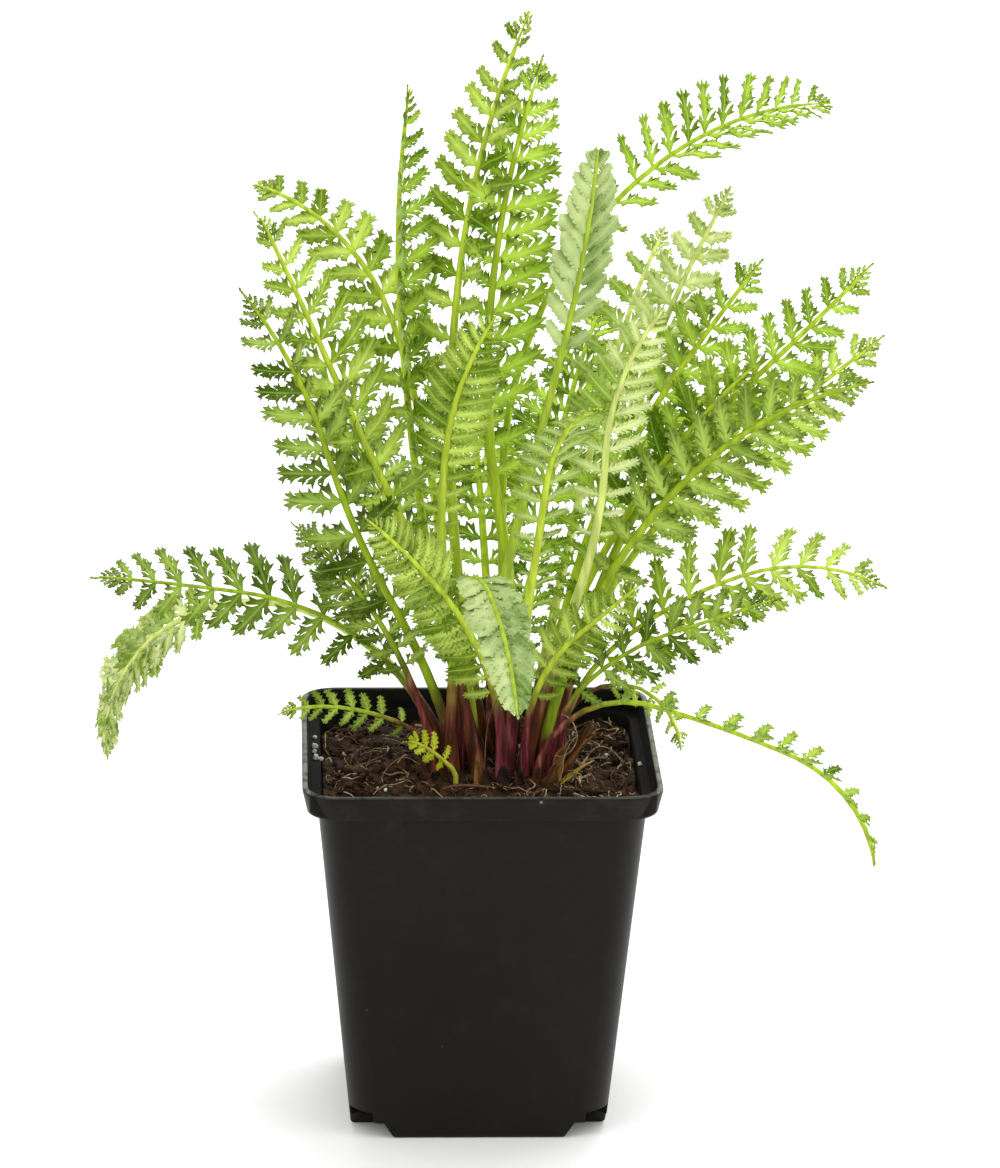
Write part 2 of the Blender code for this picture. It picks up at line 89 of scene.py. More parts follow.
# Finishes: one small class wraps a socket, so that masks are plain sums
class Value:
    def __init__(self, finish, socket):
        self.finish, self.socket = finish, socket

    def maths(self, operation, first, second=None, clamp=False):
        inputs = {0: first} if second is None else {0: first, 1: second}
        return self.finish.node("Math", {"operation": operation, "use_clamp": clamp}, inputs)

    def __add__(self, other):
        return self.maths("ADD", self, other)

    def __radd__(self, other):
        return self.maths("ADD", other, self)

    def __sub__(self, other):
        return self.maths("SUBTRACT", self, other)

    def __rsub__(self, other):
        return self.maths("SUBTRACT", other, self)

    def __mul__(self, other):
        return self.maths("MULTIPLY", self, other)

    def __rmul__(self, other):
        return self.maths("MULTIPLY", other, self)

    def __truediv__(self, other):
        return self.maths("DIVIDE", self, other)

    def __rtruediv__(self, other):
        return self.maths("DIVIDE", other, self)

    def __abs__(self):
        return self.maths("ABSOLUTE", self)

    def clamped(self):
        return self.maths("ADD", self, 0.0, clamp=True)

    def steps(self, low, high):  # 0 below low, 1 above high, smooth between
        settings = {"interpolation_type": "SMOOTHSTEP", "clamp": True}
        return self.finish.node("MapRange", settings, {0: self, 1: low, 2: high, 3: 0.0, 4: 1.0})


class Finish:
    def __init__(self, name):
        self.material = bpy.data.materials.new(name)
        self.material.use_nodes = True
        self.tree = self.material.node_tree
        self.tree.nodes.clear()

    def node(self, kind, settings=None, inputs=None, out=0):
        made = self.tree.nodes.new("ShaderNode" + kind)
        for key, value in (settings or {}).items():
            if key == "stops":
                while len(made.color_ramp.elements) < len(value):
                    made.color_ramp.elements.new(0.5)
                for element, (place, colour) in zip(made.color_ramp.elements, value):
                    element.position, element.color = place, (*colour, 1.0)
            else:
                setattr(made, key, value)
        for key, value in (inputs or {}).items():
            socket = made.inputs[key]
            if isinstance(value, Value):
                self.tree.links.new(value.socket, socket)
            elif isinstance(value, tuple) and len(value) == 3 and socket.type == "RGBA":
                socket.default_value = (*value, 1.0)
            else:
                socket.default_value = value
        return Value(self, made.outputs[out])

    def place(self):
        return self.node("TexCoord", out=3)  # Object coordinates

    def noise(self, where, scale, detail=2.0, roughness=0.5, out=0):
        inputs = {"Vector": where, "Scale": scale, "Detail": detail, "Roughness": roughness}
        return self.node("TexNoise", None, inputs, out)

    def mix(self, factor, first, second, blend="MIX"):
        settings = {"data_type": "RGBA", "blend_type": blend, "clamp_factor": True}
        return self.node("Mix", settings, {0: factor, 6: first, 7: second}, out=2)

    def axis(self, where, which):
        return self.node("SeparateXYZ", None, {0: where}, out="XYZ".index(which))

    def bump(self, height, distance, strength=1.0):
        inputs = {"Height": height, "Distance": distance, "Strength": strength}
        return self.node("Bump", None, inputs)

    def output(self, shader):
        made = self.tree.nodes.new("ShaderNodeOutputMaterial")
        self.tree.links.new(shader.socket, made.inputs["Surface"])
        return self.material


# Leaves: each tint has its upper side, as a painted shade colour and a painted lit colour, its underside,
# what shines through, its stalk, how much light passes and how dark its leaflets end
leafTints = {
    "deep": {"shade": (0.055, 0.110, 0.002), "lit": (0.480, 0.655, 0.112), "under": (0.36, 0.48, 0.15),
             "through": (0.46, 0.64, 0.07), "stalk": (0.38, 0.54, 0.025), "glow": 0.32, "tips": 0.85},
    "fresh": {"shade": (0.080, 0.170, 0.003), "lit": (0.640, 0.860, 0.110), "under": (0.50, 0.66, 0.18),
              "through": (0.62, 0.82, 0.09), "stalk": (0.52, 0.70, 0.035), "glow": 0.36, "tips": 0.80},
    "light": {"shade": (0.095, 0.195, 0.004), "lit": (0.740, 0.920, 0.190), "under": (0.58, 0.72, 0.26),
              "through": (0.72, 0.88, 0.14), "stalk": (0.60, 0.76, 0.060), "glow": 0.38, "tips": 0.70},
    "pale": {"shade": (0.220, 0.370, 0.036), "lit": (0.940, 0.970, 0.530), "under": (0.72, 0.84, 0.46),
             "through": (0.82, 0.94, 0.36), "stalk": (0.76, 0.86, 0.24), "glow": 0.42, "tips": 0.40},
    "grey": {"shade": (0.110, 0.235, 0.015), "lit": (0.720, 0.870, 0.370), "under": (0.18, 0.32, 0.03),
             "through": (0.54, 0.70, 0.14), "stalk": (0.46, 0.62, 0.050), "glow": 0.30, "tips": 0.10},
    "young": {"shade": (0.450, 0.520, 0.010), "lit": (0.760, 0.830, 0.060), "under": (0.60, 0.66, 0.08),
              "through": (0.85, 0.90, 0.04), "stalk": (0.60, 0.64, 0.06), "glow": 0.40, "tips": 0.30},
}
leafTip = (0.055, 0.060, 0.014)
# the pink of each sort is pink streaking over the red, partly painted highlight
stalkBase = {  # the flush over a stalk's foot, of two sorts, and how many centimetres up it ends
    "wine": {"dark": (0.034, 0.009, 0.013), "red": (0.180, 0.022, 0.034), "pink": (0.400, 0.150, 0.150)},
    "rust": {"dark": (0.055, 0.016, 0.008), "red": (0.190, 0.048, 0.024), "pink": (0.400, 0.190, 0.095)},
    "bottom": 1.3, "top": 3.0,
}
# painted light: each frond's leaflets are moved further towards the painted lit colour; below zero, towards the painted
# shade colour
paintedLitShift = {  # fronds that are lighter or darker than the others of their tint
    "tall_centre": 0.45, "right_middle": 0.85, "right_arching": 0.4, "right_trailing": 0.4, "left_drooping": -0.1,
    "back_left": 0.3, "back_low": 0.2, "inner_left": 0.35, "front_left": 0.15, "mid_lacy": 0.1, "left_outer": 0.15,
    "left_arching": 0.1, "right_upper": 0.25, "right_long": 0.12, "right_behind": 0.2,
}
slender = {"front_drooping": 1.25, "right_arching": 0.72, "tall_back": 0.9, "tall_centre": 1.2, "right_level": 0.9, "right_trailing": 0.9}
greenFeet = ("right_middle", "left_second", "tall_left")  # their stalks are green nearly down to the peat
lowLeaflets = {  # small leaflets below the lowest pair of the solid
    "back_left": 5, "back_middle": 5, "back_right": 5, "right_inner": 4, "tall_left": 3, "left_second": 3,
    "mid_lacy": 3, "mid_pale": 2, "right_upper": 3, "right_long": 2, "front_curled": 3, "tall_centre": 2,
}


def leafFinish(name, tint, under):
    values = leafTints[tint]
    leaf = Finish(name)
    where = leaf.place()
    uv = leaf.node("UVMap", {"uv_map": "UVMap"})
    onStalk = leaf.node("Attribute", {"attribute_name": "stalk"}, out=2)
    tone = leaf.node("Attribute", {"attribute_name": "tone"}, out=2)
    along, across = leaf.axis(uv, "X"), abs(leaf.axis(uv, "Y") - 0.5)
    rib = 1.0 - across.steps(0.006, 0.024)
    patch = leaf.noise(where, 90.0, 2.0).steps(0.35, 0.65)
    fine = leaf.noise(where, 900.0, 3.0)
    if under:
        blade = leaf.mix(patch * 0.5 + tone * 0.5, tuple(0.72 * c for c in values["under"]), values["under"])
    else:
        # painted light: the upper side runs from the painted shade colour to the painted lit colour, by the leaflet's
        # tone and patches
        blade = leaf.mix((patch * 0.32 + tone * 0.64 + fine * 0.18).steps(0.10, 1.00), values["shade"], values["lit"])
    edge = 1.0 - (1.0 - across.steps(0.04, 0.20)) * (1.0 - along.steps(0.55, 1.0))
    blade = leaf.mix(edge * (0.7 * values["tips"]), blade, tuple(0.62 * c for c in values["shade"]))
    ends = 1.0 - (1.0 - across.steps(0.13, 0.22)) * (1.0 - along.steps(0.92, 1.0))
    blade = leaf.mix(ends * leaf.noise(where, 300.0).steps(0.36, 0.56) * values["tips"], blade, leafTip)
    veined = leaf.mix(rib * 0.28, blade, tuple(min(1.0, 1.25 * c + 0.03) for c in values["lit"]))
    streak = leaf.noise(leaf.node("Mapping", None, {0: where, 3: (1.0, 1.0, 0.12)}), 620.0, 3.0)
    reach = along + (leaf.noise(where, 130.0, 2.0) - 0.5) * 1.4
    flush = 1.0 - reach.steps(stalkBase["bottom"], stalkBase["top"])
    rusty = tone.steps(0.40, 0.75)
    shades = {key: leaf.mix(rusty, stalkBase["wine"][key], stalkBase["rust"][key]) for key in stalkBase["wine"]}
    red = leaf.mix(streak.steps(0.34, 0.58), shades["dark"], shades["red"])
    # pink streaks over the red: partly the stalk's own streaks, partly painted highlight along the round stalk
    red = leaf.mix(streak.steps(0.54, 0.72) * 0.85, red, shades["pink"])
    stem = leaf.mix(streak.steps(0.35, 0.70), tuple(0.66 * c for c in values["stalk"]), values["stalk"])
    stalk = leaf.mix(flush, stem, red)
    colour = leaf.mix(onStalk, veined, stalk)
    relief = (fine * 0.6 + leaf.noise(where, 2600.0, 2.0) * 0.4) + rib * 0.5
    inputs = {
        "Base Color": colour,
        "Roughness": 0.48 + fine * 0.12 - onStalk * 0.10,
        "Normal": leaf.bump(relief, 0.00012, 0.5),
        "Specular IOR Level": 0.13,
    }
    surface = leaf.node("BsdfPrincipled", None, inputs)
    through = leaf.node("BsdfTranslucent", None, {"Color": values["through"]})
    share = values["glow"] * (1.0 - onStalk * 0.75)
    return leaf.output(leaf.node("MixShader", None, {0: share, 1: surface, 2: through}))


print("leaf finishes")
leafMaterials = {}
for tint in leafTints:
    leafMaterials[tint] = (leafFinish(f"leafUpper_{tint}", tint, False), leafFinish(f"leafUnder_{tint}", tint, True))


# A cut leaflet, one unit long: its rib runs along X and the frond's tip is on the +Y side
leaflet = {
    "thickness": 0.26 * mm,
    # each kind: its lobes on a side, the half width of its slender foot and of its middle, the lobes'
    # length, the long first lobe on the frond's tip side, half a lobe's width, how blunt it ends, and the
    # lobes' angles near the foot and near the tip
    "lacy": {"lobes": 5, "foot": 0.026, "middle": 0.050, "reach": 0.275, "first": 0.42, "half": 0.035, "blunt": 0.2,
             "angles": (46, 28)},
    "sparse": {"lobes": 4, "foot": 0.032, "middle": 0.054, "reach": 0.27, "first": 0.33, "half": 0.040, "blunt": 0.3,
               "angles": (46, 30)},
    "broad": {"lobes": 4, "foot": 0.040, "middle": 0.080, "reach": 0.28, "first": 0.36, "half": 0.058, "blunt": 0.45,
              "angles": (50, 28)},
    "fine": {"lobes": 7, "foot": 0.032, "middle": 0.058, "reach": 0.21, "first": 0.30, "half": 0.024, "blunt": 0.2,
             "angles": (48, 30)},
    "ribbon": {"lobes": 6, "foot": 0.115, "middle": 0.150, "reach": 0.14, "first": 0.14, "half": 0.044, "blunt": 0.3,
               "angles": (44, 26)},
}


def pickEdge(mesh, middle):
    for part in (*mesh.verts, *mesh.edges, *mesh.faces):
        part.select = False
    nearest = min(mesh.edges, key=lambda e: (0.5 * (e.verts[0].co + e.verts[1].co) - middle).length)
    nearest.select = True
    mesh.select_flush_mode()
    return [vertex.co.copy() for vertex in nearest.verts]


def growEdge(piece, middle, ends):
    # extrudes the edge at this place and puts its new corners where they belong
    mesh = bmesh.from_edit_mesh(piece.data)
    pickEdge(mesh, Vector(middle))
    bmesh.update_edit_mesh(piece.data)
    bpy.ops.mesh.extrude_region_move()
    mesh = bmesh.from_edit_mesh(piece.data)
    first, last = (vertex for vertex in mesh.verts if vertex.select)
    near, far = (Vector(end) for end in ends)
    if (first.co - near).length + (last.co - far).length > (first.co - far).length + (last.co - near).length:
        near, far = far, near
    first.co, last.co = near, far
    bmesh.update_edit_mesh(piece.data)


def makeLeaflet(kind, seed):
    rng = random.Random(seed)
    values = leaflet[kind]
    count = values["lobes"]
    stations = [0.0] + [0.03 + 0.87 * (k / count) for k in range(count + 1)] + [1.0]
    swell = values["middle"] - values["foot"]
    widths = [values["foot"] + swell * math.sin(math.pi * x**1.4) for x in stations[:-1]] + [0.006]
    deselectAll()
    bpy.ops.mesh.primitive_plane_add(size=1, location=(0, 0, 0))
    piece = bpy.context.object
    piece.name = kind + "Leaflet"
    bpy.ops.object.mode_set(mode="EDIT")
    bpy.ops.mesh.select_mode(type="EDGE")
    mesh = bmesh.from_edit_mesh(piece.data)
    for vertex in mesh.verts:
        k = 0 if vertex.co.x < 0 else 1
        vertex.co = (stations[k], math.copysign(widths[k], vertex.co.y), 0)
    bmesh.update_edit_mesh(piece.data)
    for k in range(2, len(stations)):
        x, w = stations[k], widths[k]
        growEdge(piece, (stations[k - 1], 0, 0), ((x, -w, 0), (x, w, 0)))
    for side in (1, -1):
        for k in range(count):
            share = k / (count - 1)
            length = values["reach"] * (1.0 - 0.32 * share) * rng.uniform(0.80, 1.18)
            if k == 0:
                length = values["first"] if side > 0 else 0.8 * values["reach"]
            angle = values["angles"][0] + (values["angles"][1] - values["angles"][0]) * share + rng.uniform(-6, 6)
            rear = Vector((stations[k + 1], side * widths[k + 1], 0))
            front = Vector((stations[k + 2], side * widths[k + 2], 0))
            growLobe(piece, rng, values, side, (rear, front), length, angle)
    bpy.ops.object.mode_set(mode="OBJECT")
    for vertex in piece.data.vertices:
        x, y = vertex.co.x, vertex.co.y
        vertex.co.z += 0.18 * abs(y) - 0.012 * math.sin(11 * x) * (1 + 8 * abs(y))
    layer = piece.data.uv_layers[0]
    layer.name = "UVMap"
    for loop in piece.data.loops:
        co = piece.data.vertices[loop.vertex_index].co
        layer.data[loop.index].uv = (co.x, 0.5 + co.y)
    mark(piece.data, "stalk", 0.0)
    mark(piece.data, "tone", 0.5)
    useAlone(piece)
    bpy.ops.object.mode_set(mode="EDIT")
    bpy.ops.mesh.select_all(action="SELECT")
    bpy.ops.mesh.normals_make_consistent(inside=False)
    bpy.ops.object.mode_set(mode="OBJECT")
    if piece.data.polygons[0].normal.z < 0:
        piece.data.flip_normals()
    for face in piece.data.polygons:
        face.use_smooth = True
    return piece


def mark(data, name, value):
    layer = data.attributes.get(name) or data.attributes.new(name, "FLOAT", "POINT")
    layer.data.foreach_set("value", [value] * len(data.vertices))


def growLobe(piece, rng, values, side, root, length, angle):
    # a pointed lobe from one side of the rib, with teeth of its own where it is long
    rear, front = root
    middle = rear.lerp(front, 0.5)
    lift = rng.uniform(-0.25, 0.32) * length
    previous = 0.5 * (rear + front)
    edges = []
    for share, wide in ((0.28, 0.95), (0.68, 1.0), (1.0, values["blunt"])):
        bent = math.radians(angle - 14 * share)
        way = Vector((math.cos(bent), side * math.sin(bent), 0))
        forward = Vector((math.sin(bent), -side * math.cos(bent), 0))
        centre = middle + share * length * way + Vector((0, 0, lift * share))
        half = wide * values["half"] * min(1.0, 0.5 + 2.5 * length)
        ends = (centre - half * forward, centre + half * forward)
        growEdge(piece, previous, ends)
        previous = 0.5 * (ends[0] + ends[1])
        edges.append(ends)
    for corner, turn, least in ((0, 34, 0.15), (1, -26, 0.20)):
        if length < least:
            continue
        low, high = edges[0][corner], edges[1][corner]
        spread = math.radians(angle + turn)
        way = Vector((math.cos(spread), side * math.sin(spread), 0.2))
        tip = low.lerp(high, 0.75) + min(0.38 * length, 0.11) * way
        growEdge(piece, 0.5 * (low + high), (tip - 0.006 * way, tip + 0.008 * way))


print("leaflets")
leafletModels = {kind: [makeLeaflet(kind, seed) for seed in (3, 8, 12)] for kind in leaflet if kind != "thickness"}
for kind, models in leafletModels.items():
    print(kind, "leaflet faces", len(models[0].data.polygons))


# Each frond, as the solid it stands for: where its stalk leaves the peat, its heading, its lean at the
# root, at one and two thirds and at the tip, its length, its stalk's width at the root, the share with
# leaflets, the longest leaflet, the pairs, the way its upper side looks, the lift of its leaflets, its
# tint, the kind of its leaflets, and how much closer they stand than the solid's
fronds = {
    "tall_back": (2, 8, 10, (-12, -4, 7, 23), 194, 3, 0.50, 12, 10, (-125, 0), 32, "light", "broad", 1.3),
    "tall_centre": (6.2, 3.5, 15, (9, -11, 5, 19), 180, 3.3, 0.55, 16, 12, (-85, 5), 8, "fresh", "lacy", 1.2),
    "tall_left": (0, 4, 180, (19, 9, 4, -8), 174, 2.5, 0.64, 13, 11, (-30, 0), 42, "fresh", "lacy", 1.5),
    "left_arching": (-3.9, 8.5, 150, (8, 7, 21, 82), 164, 2.7, 0.48, 12, 9, (-70, 35), 10, "light", "broad", 1.25),
    "mid_lacy": (-0.4, -6.6, -8, (-15, -8, 5, 32), 120, 3.1, 0.42, 10, 8, (-100, 10), 8, "light", "fine", 2),
    "left_second": (-2, 0, 190, (0, 27, 23, 25), 153, 3.2, 0.60, 15, 10, (-60, 10), 26, "light", "lacy", 1.25),
    "left_outer": (-5.7, -4, 198, (15, 29, 17, 37), 138, 2.4, 0.66, 15, 9, (-75, 10), 6, "deep", "lacy", 1.3),
    "left_level": (-10.1, -4, 190, (11, 48, 79, 82), 110, 1.7, 0.72, 14.5, 9, (-80, 40), 10, "deep", "sparse", 1.15),
    "left_drooping": (-9, 8.5, 168, (22, 65, 124, 183), 129, 2.3, 0.40, 12, 8, (200, 20), 8, "pale", "broad", 2.1),
    "left_low": (-9.3, 1, 175, (35, 69, 85, 108), 45, 1.3, 0.72, 6, 7, (-80, 50), 10, "light", "sparse", 1.2),
    "grey_upright": (7, -1, -20, (-12, 13, 14, 5), 162, 2.9, 0.32, 11, 10, (-70, 0), 4, "grey", "ribbon", 1.15),
    "right_arching": (8.5, 10, 30, (-6, 1, 50, 97), 218, 2.8, 0.36, 14, 10, (-90, 45), 38, "fresh", "sparse", 1.3),
    "right_pale": (17, 9, 40, (12, 20, 28, 40), 151, 2.8, 0.50, 12, 8, (-90, 20), 10, "pale", "broad", 1.25),
    "back_pale": (13.6, 13.5, 60, (21, 26, 31, 54), 141, 2.6, 0.50, 11, 7, (-90, 20), 10, "pale", "broad", 1.25),
    "right_upper": (15.3, 4.5, 30, (8, 19, 40, 46), 139, 2.7, 0.60, 14, 9, (-80, 25), 8, "fresh", "lacy", 1.3),
    "right_long": (18.1, 0, 10, (11, 22, 49, 45), 152, 2.7, 0.62, 14, 10, (-80, 20), 8, "fresh", "lacy", 1.3),
    "right_middle": (15.6, -4.5, 0, (9, 26, 48, 78), 136, 2.7, 0.62, 12.5, 9, (-80, 25), 8, "deep", "lacy", 1.35),
    "right_level": (19.8, -4, 0, (3, 49, 71, 116), 107, 1.8, 0.72, 14.5, 9, (-85, 40), 10, "light", "sparse", 1.15),
    "right_lower": (17.7, -8.5, -10, (0, 45, 69, 68), 79, 1.6, 0.72, 11, 8, (-85, 45), 10, "deep", "sparse", 1.2),
    "right_trailing": (14.6, -13, -5, (9, 105, 113, 172), 113, 1.7, 0.74, 8, 9, (175, 86), 42, "fresh", "sparse", 1.3),
    "front_drooping": (-7, -10, -78, (-8, 20, 101, 149), 117, 2.6, 0.44, 10, 9, (102, 70), 4, "grey", "ribbon", 1.7),
    "front_left": (5.2, -13.5, 205, (-4, 21, 40, 48), 83, 2.3, 0.74, 11, 9, (-80, 20), 6, "light", "fine", 2.5),
    "front_right": (11.6, -9.5, -20, (-6, 21, 48, 46), 61, 1.9, 0.70, 8, 7, (-90, 20), 8, "light", "fine", 1.8),
    "mid_pale": (11.8, -5.2, -5, (11, 20, 2, 38), 125, 3.1, 0.42, 10, 7, (-85, 5), 8, "pale", "fine", 1.7),
    "front_curled": (7.4, -9.2, -62, (8, 14, 13, 76), 118, 2.8, 0.42, 10, 7, (118, 60), 10, "light", "fine", 1.7),
    "right_inner": (12.5, 0, 5, (10, 23, 35, 48), 118, 2.6, 0.56, 12, 7, (-90, 15), 8, "fresh", "lacy", 1.4),
    "right_behind": (20, 4, 20, (5, 35, 57, 58), 139, 2.4, 0.56, 14, 8, (-80, 30), 8, "light", "lacy", 1.4),
    "back_right": (9.5, 14, 70, (14, 27, 44, 62), 124, 2.5, 0.62, 14, 8, (250, 60), 10, "fresh", "lacy", 1.8),
    "back_middle": (4, 13, 95, (16, 31, 48, 66), 118, 2.5, 0.62, 14, 8, (275, 60), 10, "fresh", "lacy", 1.8),
    "back_left": (-2, 13, 125, (18, 35, 53, 70), 116, 2.5, 0.62, 14, 8, (305, 60), 10, "deep", "lacy", 1.8),
    "back_low": (7, 18, 80, (38, 63, 84, 104), 96, 2, 0.70, 12, 7, (260, 70), 12, "deep", "sparse", 1.2),
    "right_short": (21.9, 8.5, 0, (-11, 59, 128, 176), 51, 1.3, 0.56, 5, 5, (-80, 30), 10, "light", "sparse", 1.2),
    "inner_left": (-11.2, -8.6, 185, (10, 23, 35, 48), 74, 1.8, 0.64, 10, 7, (-80, 30), 8, "deep", "lacy", 1.8),
    "young": (-6.2, -15.6, 187, (46, 46, 56, 76), 15, 1.3, 0.72, 5, 4, (-90, 55), 20, "young", "sparse", 1),
}

# Growth: the numbers that all fronds share with their solids, in millimetres and degrees
growth = {
    "soilLevel": 88.0, "soilMound": 1.6, "soilBump": 0.7, "soilReach": 41.7,
    "rootRise": 2.4, "rootDepth": 6.0, "tipWidth": 0.9, "stalkDepth": 0.85,
    "steps": 60, "leafletBase": 0.38, "arch": 0.10,
    "tilts": (0, 14, -14, 28, -28, 42, -42), "lengths": (1.0, 0.82, 0.66, 0.5, 0.36),
    "foundWithin": 0.2, "thinnest": 0.8, "fuller": {"sparse": 0.95, "other": 1.12}, "closer": 0.86,
}


def soilHeight(x, y):
    away = min(1.0, math.hypot(x, y) / growth["soilReach"])
    bumps = math.sin(0.31 * x + 1.3) * math.cos(0.27 * y) + 0.6 * math.sin(0.19 * (x - y))
    return growth["soilLevel"] + growth["soilMound"] * (1 - away**2) + growth["soilBump"] * bumps


class Spine:  # the middle line of a frond, in millimetres
    def __init__(self, values):
        (self.x, self.y, heading, self.leans, self.length, self.girth, self.blade, self.leaflet, self.pairs,
         face, self.lift, self.tint, self.kind, self.crowding) = values
        heading = math.radians(heading)
        self.outwards = Vector((math.cos(heading), math.sin(heading), 0))
        turn, height = (math.radians(a) for a in face)
        self.face = Vector((math.cos(turn) * math.cos(height), math.sin(turn) * math.cos(height), math.sin(height)))
        point = Vector((self.x, self.y, soilHeight(self.x, self.y) + growth["rootRise"]))
        self.points = [point.copy()]
        for k in range(growth["steps"]):
            point = point + self.length / growth["steps"] * self.direction((k + 0.5) / growth["steps"])
            self.points.append(point)

    def direction(self, share):
        if share < 0:
            return Vector((0, 0, 1))
        place = min(share, 1) * (len(self.leans) - 1)
        k = min(int(place), len(self.leans) - 2)
        lean = math.radians(self.leans[k] + (self.leans[k + 1] - self.leans[k]) * (place - k))
        return math.sin(lean) * self.outwards + Vector((0, 0, math.cos(lean)))

    def point(self, reach):
        if reach <= 0:
            return self.points[0] + Vector((0, 0, reach))
        place = min(reach / self.length, 1) * growth["steps"]
        k = min(int(place), growth["steps"] - 1)
        return self.points[k].lerp(self.points[k + 1], place - k)

    def frame(self, reach):
        tangent = self.direction(reach / self.length)
        upper = (self.face - self.face.dot(tangent) * tangent).normalized()
        return tangent, upper, upper.cross(tangent)

    def width(self, reach):
        share = min(max(reach / self.length, 0), 1)
        return self.girth + (growth["tipWidth"] - self.girth) * share

    def edge(self, reach, side):
        tangent, upper, left = self.frame(reach)
        half = 0.5 * self.width(reach)
        return self.point(reach) + 0.8 * growth["stalkDepth"] * half * upper + side * half * left


class Placed:  # one leaflet's own plane beside the stalk
    def __init__(self, spine, start, end, side, length, sweep, tilt):
        tangent, upper, left = spine.frame(0.5 * (start + end))
        out = math.cos(tilt) * side * left + math.sin(tilt) * upper
        self.axis = math.cos(sweep) * tangent + math.sin(sweep) * out
        self.across = (tangent - tangent.dot(self.axis) * self.axis).normalized()
        self.up = self.axis.cross(self.across)
        if self.up.dot(upper) < 0:
            self.up = -self.up
        self.middle = 0.5 * (spine.edge(start, side) + spine.edge(end, side))
        self.length = length

    def at(self, along, across, raised=0.0):
        size = self.length
        return (self.middle + along * size * self.axis + across * size * self.across
                + (raised - growth["arch"] * size * along**2) * self.up)


def placedLeaflets(name, spine, seed):
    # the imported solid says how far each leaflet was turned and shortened: its tip is in the mesh
    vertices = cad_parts["frond_" + name].data.vertices
    tree = KDTree(len(vertices))
    for k, vertex in enumerate(vertices):
        tree.insert(vertex.co / mm, k)
    tree.balance()
    rng = random.Random(seed)
    blade = spine.length * spine.blade
    pitch = blade / spine.pairs
    first = spine.length - blade - 0.35 * pitch
    found = {1: [], -1: []}
    for k in range(spine.pairs):
        middle, up = first + (k + 0.5) * pitch, (k + 0.5) / spine.pairs
        start = middle - 0.5 * growth["leafletBase"] * pitch
        end = middle + 0.5 * growth["leafletBase"] * pitch
        for side in (1, -1):
            length = spine.leaflet * math.sin(math.pi * (0.16 + 0.78 * up)) ** 0.75 * rng.uniform(0.93, 1.05)
            sweep = 76 - 26 * up + rng.uniform(-4, 4)
            jitter = rng.uniform(-6, 6)
            best = None
            for share in growth["lengths"]:
                for tilt in growth["tilts"]:
                    lift = spine.lift + jitter + tilt
                    guess = Placed(spine, start, end, side, share * length, math.radians(sweep), math.radians(lift))
                    miss = tree.find(guess.at(1, 0.02))[2]
                    if best is None or miss < best[0]:
                        best = (miss, middle, share * length, sweep, lift)
            if best[0] < growth["foundWithin"]:
                found[side].append(best[1:])
    return found, pitch


def makeStalk(name, spine, paler, raised, rusty):
    # a curve with a round section, made a mesh
    curve = bpy.data.curves.new(name, "CURVE")
    curve.dimensions = "3D"
    curve.bevel_depth = 0.5 * mm
    curve.bevel_resolution = 2
    curve.use_fill_caps = True
    curve.twist_mode = "MINIMUM"
    reaches = [-growth["rootDepth"], -1.0, 1.5]
    count = max(8, int(spine.length / 5))
    reaches += [spine.length * (k / count) for k in range(1, count + 1)]
    line = curve.splines.new("POLY")
    line.points.add(len(reaches) - 1)
    fuller = growth["fuller"]["sparse" if spine.kind == "sparse" else "other"]
    for point, reach in zip(line.points, reaches):
        height = spine.point(reach).z - soilHeight(spine.x, spine.y)
        flare = 1.0 + 0.45 * math.exp(-max(height, 0) / 8.0) * (1.0 if spine.length > 40 else 0.2)
        _, upper, _ = spine.frame(reach)
        place = spine.point(reach) + 0.12 * spine.width(reach) * upper
        point.co = (*(place * mm), 1)
        thick = max(growth["thinnest"], fuller * spine.width(reach))
        point.radius = thick * flare * (1.0 if reach < spine.length * 0.97 else 0.5)
    stalk = bpy.data.objects.new(name, curve)
    bpy.context.collection.objects.link(stalk)
    useAlone(stalk)
    bpy.ops.object.convert(target="MESH")
    stalk = bpy.context.object
    data = stalk.data
    if not data.uv_layers:
        data.uv_layers.new(name="UVMap")
    data.uv_layers[0].name = "UVMap"
    tree = KDTree(len(reaches))
    for k, reach in enumerate(reaches):
        tree.insert(spine.point(reach) * mm, k)
    tree.balance()
    for loop in data.loops:  # along the stalk, U is the reach in centimetres, shorter where less of it is red
        k = tree.find(data.vertices[loop.vertex_index].co)[1]
        data.uv_layers[0].data[loop.index].uv = (0.1 * reaches[k] * paler + raised, 0.9)
    mark(data, "stalk", 1.0)
    mark(data, "tone", rusty)
    for face in data.polygons:
        face.use_smooth = True
    return stalk


def layLeaflet(model, place, rng, curl, tone, widen=1.0):
    # a copy of the model, bent along its arch, with the frond's tip on its +Y side
    twin = copyOf(model)
    twist = rng.uniform(-0.45, 0.45)
    droop = rng.uniform(-0.05, 0.14) + curl
    bow = rng.uniform(-0.03, 0.11)
    for vertex in twin.data.vertices:
        x, y, z = vertex.co
        raised = place.length * (z + twist * x * y - droop * x**3) - 0.3
        vertex.co = place.at(x * (1 - 0.06 * abs(twist)) - 0.03, widen * y + bow * x**2, raised) * mm
    if place.axis.cross(place.across).dot(place.up) < 0:
        twin.data.flip_normals()
    mark(twin.data, "tone", min(max(tone, 0.0), 1.0))
    return twin


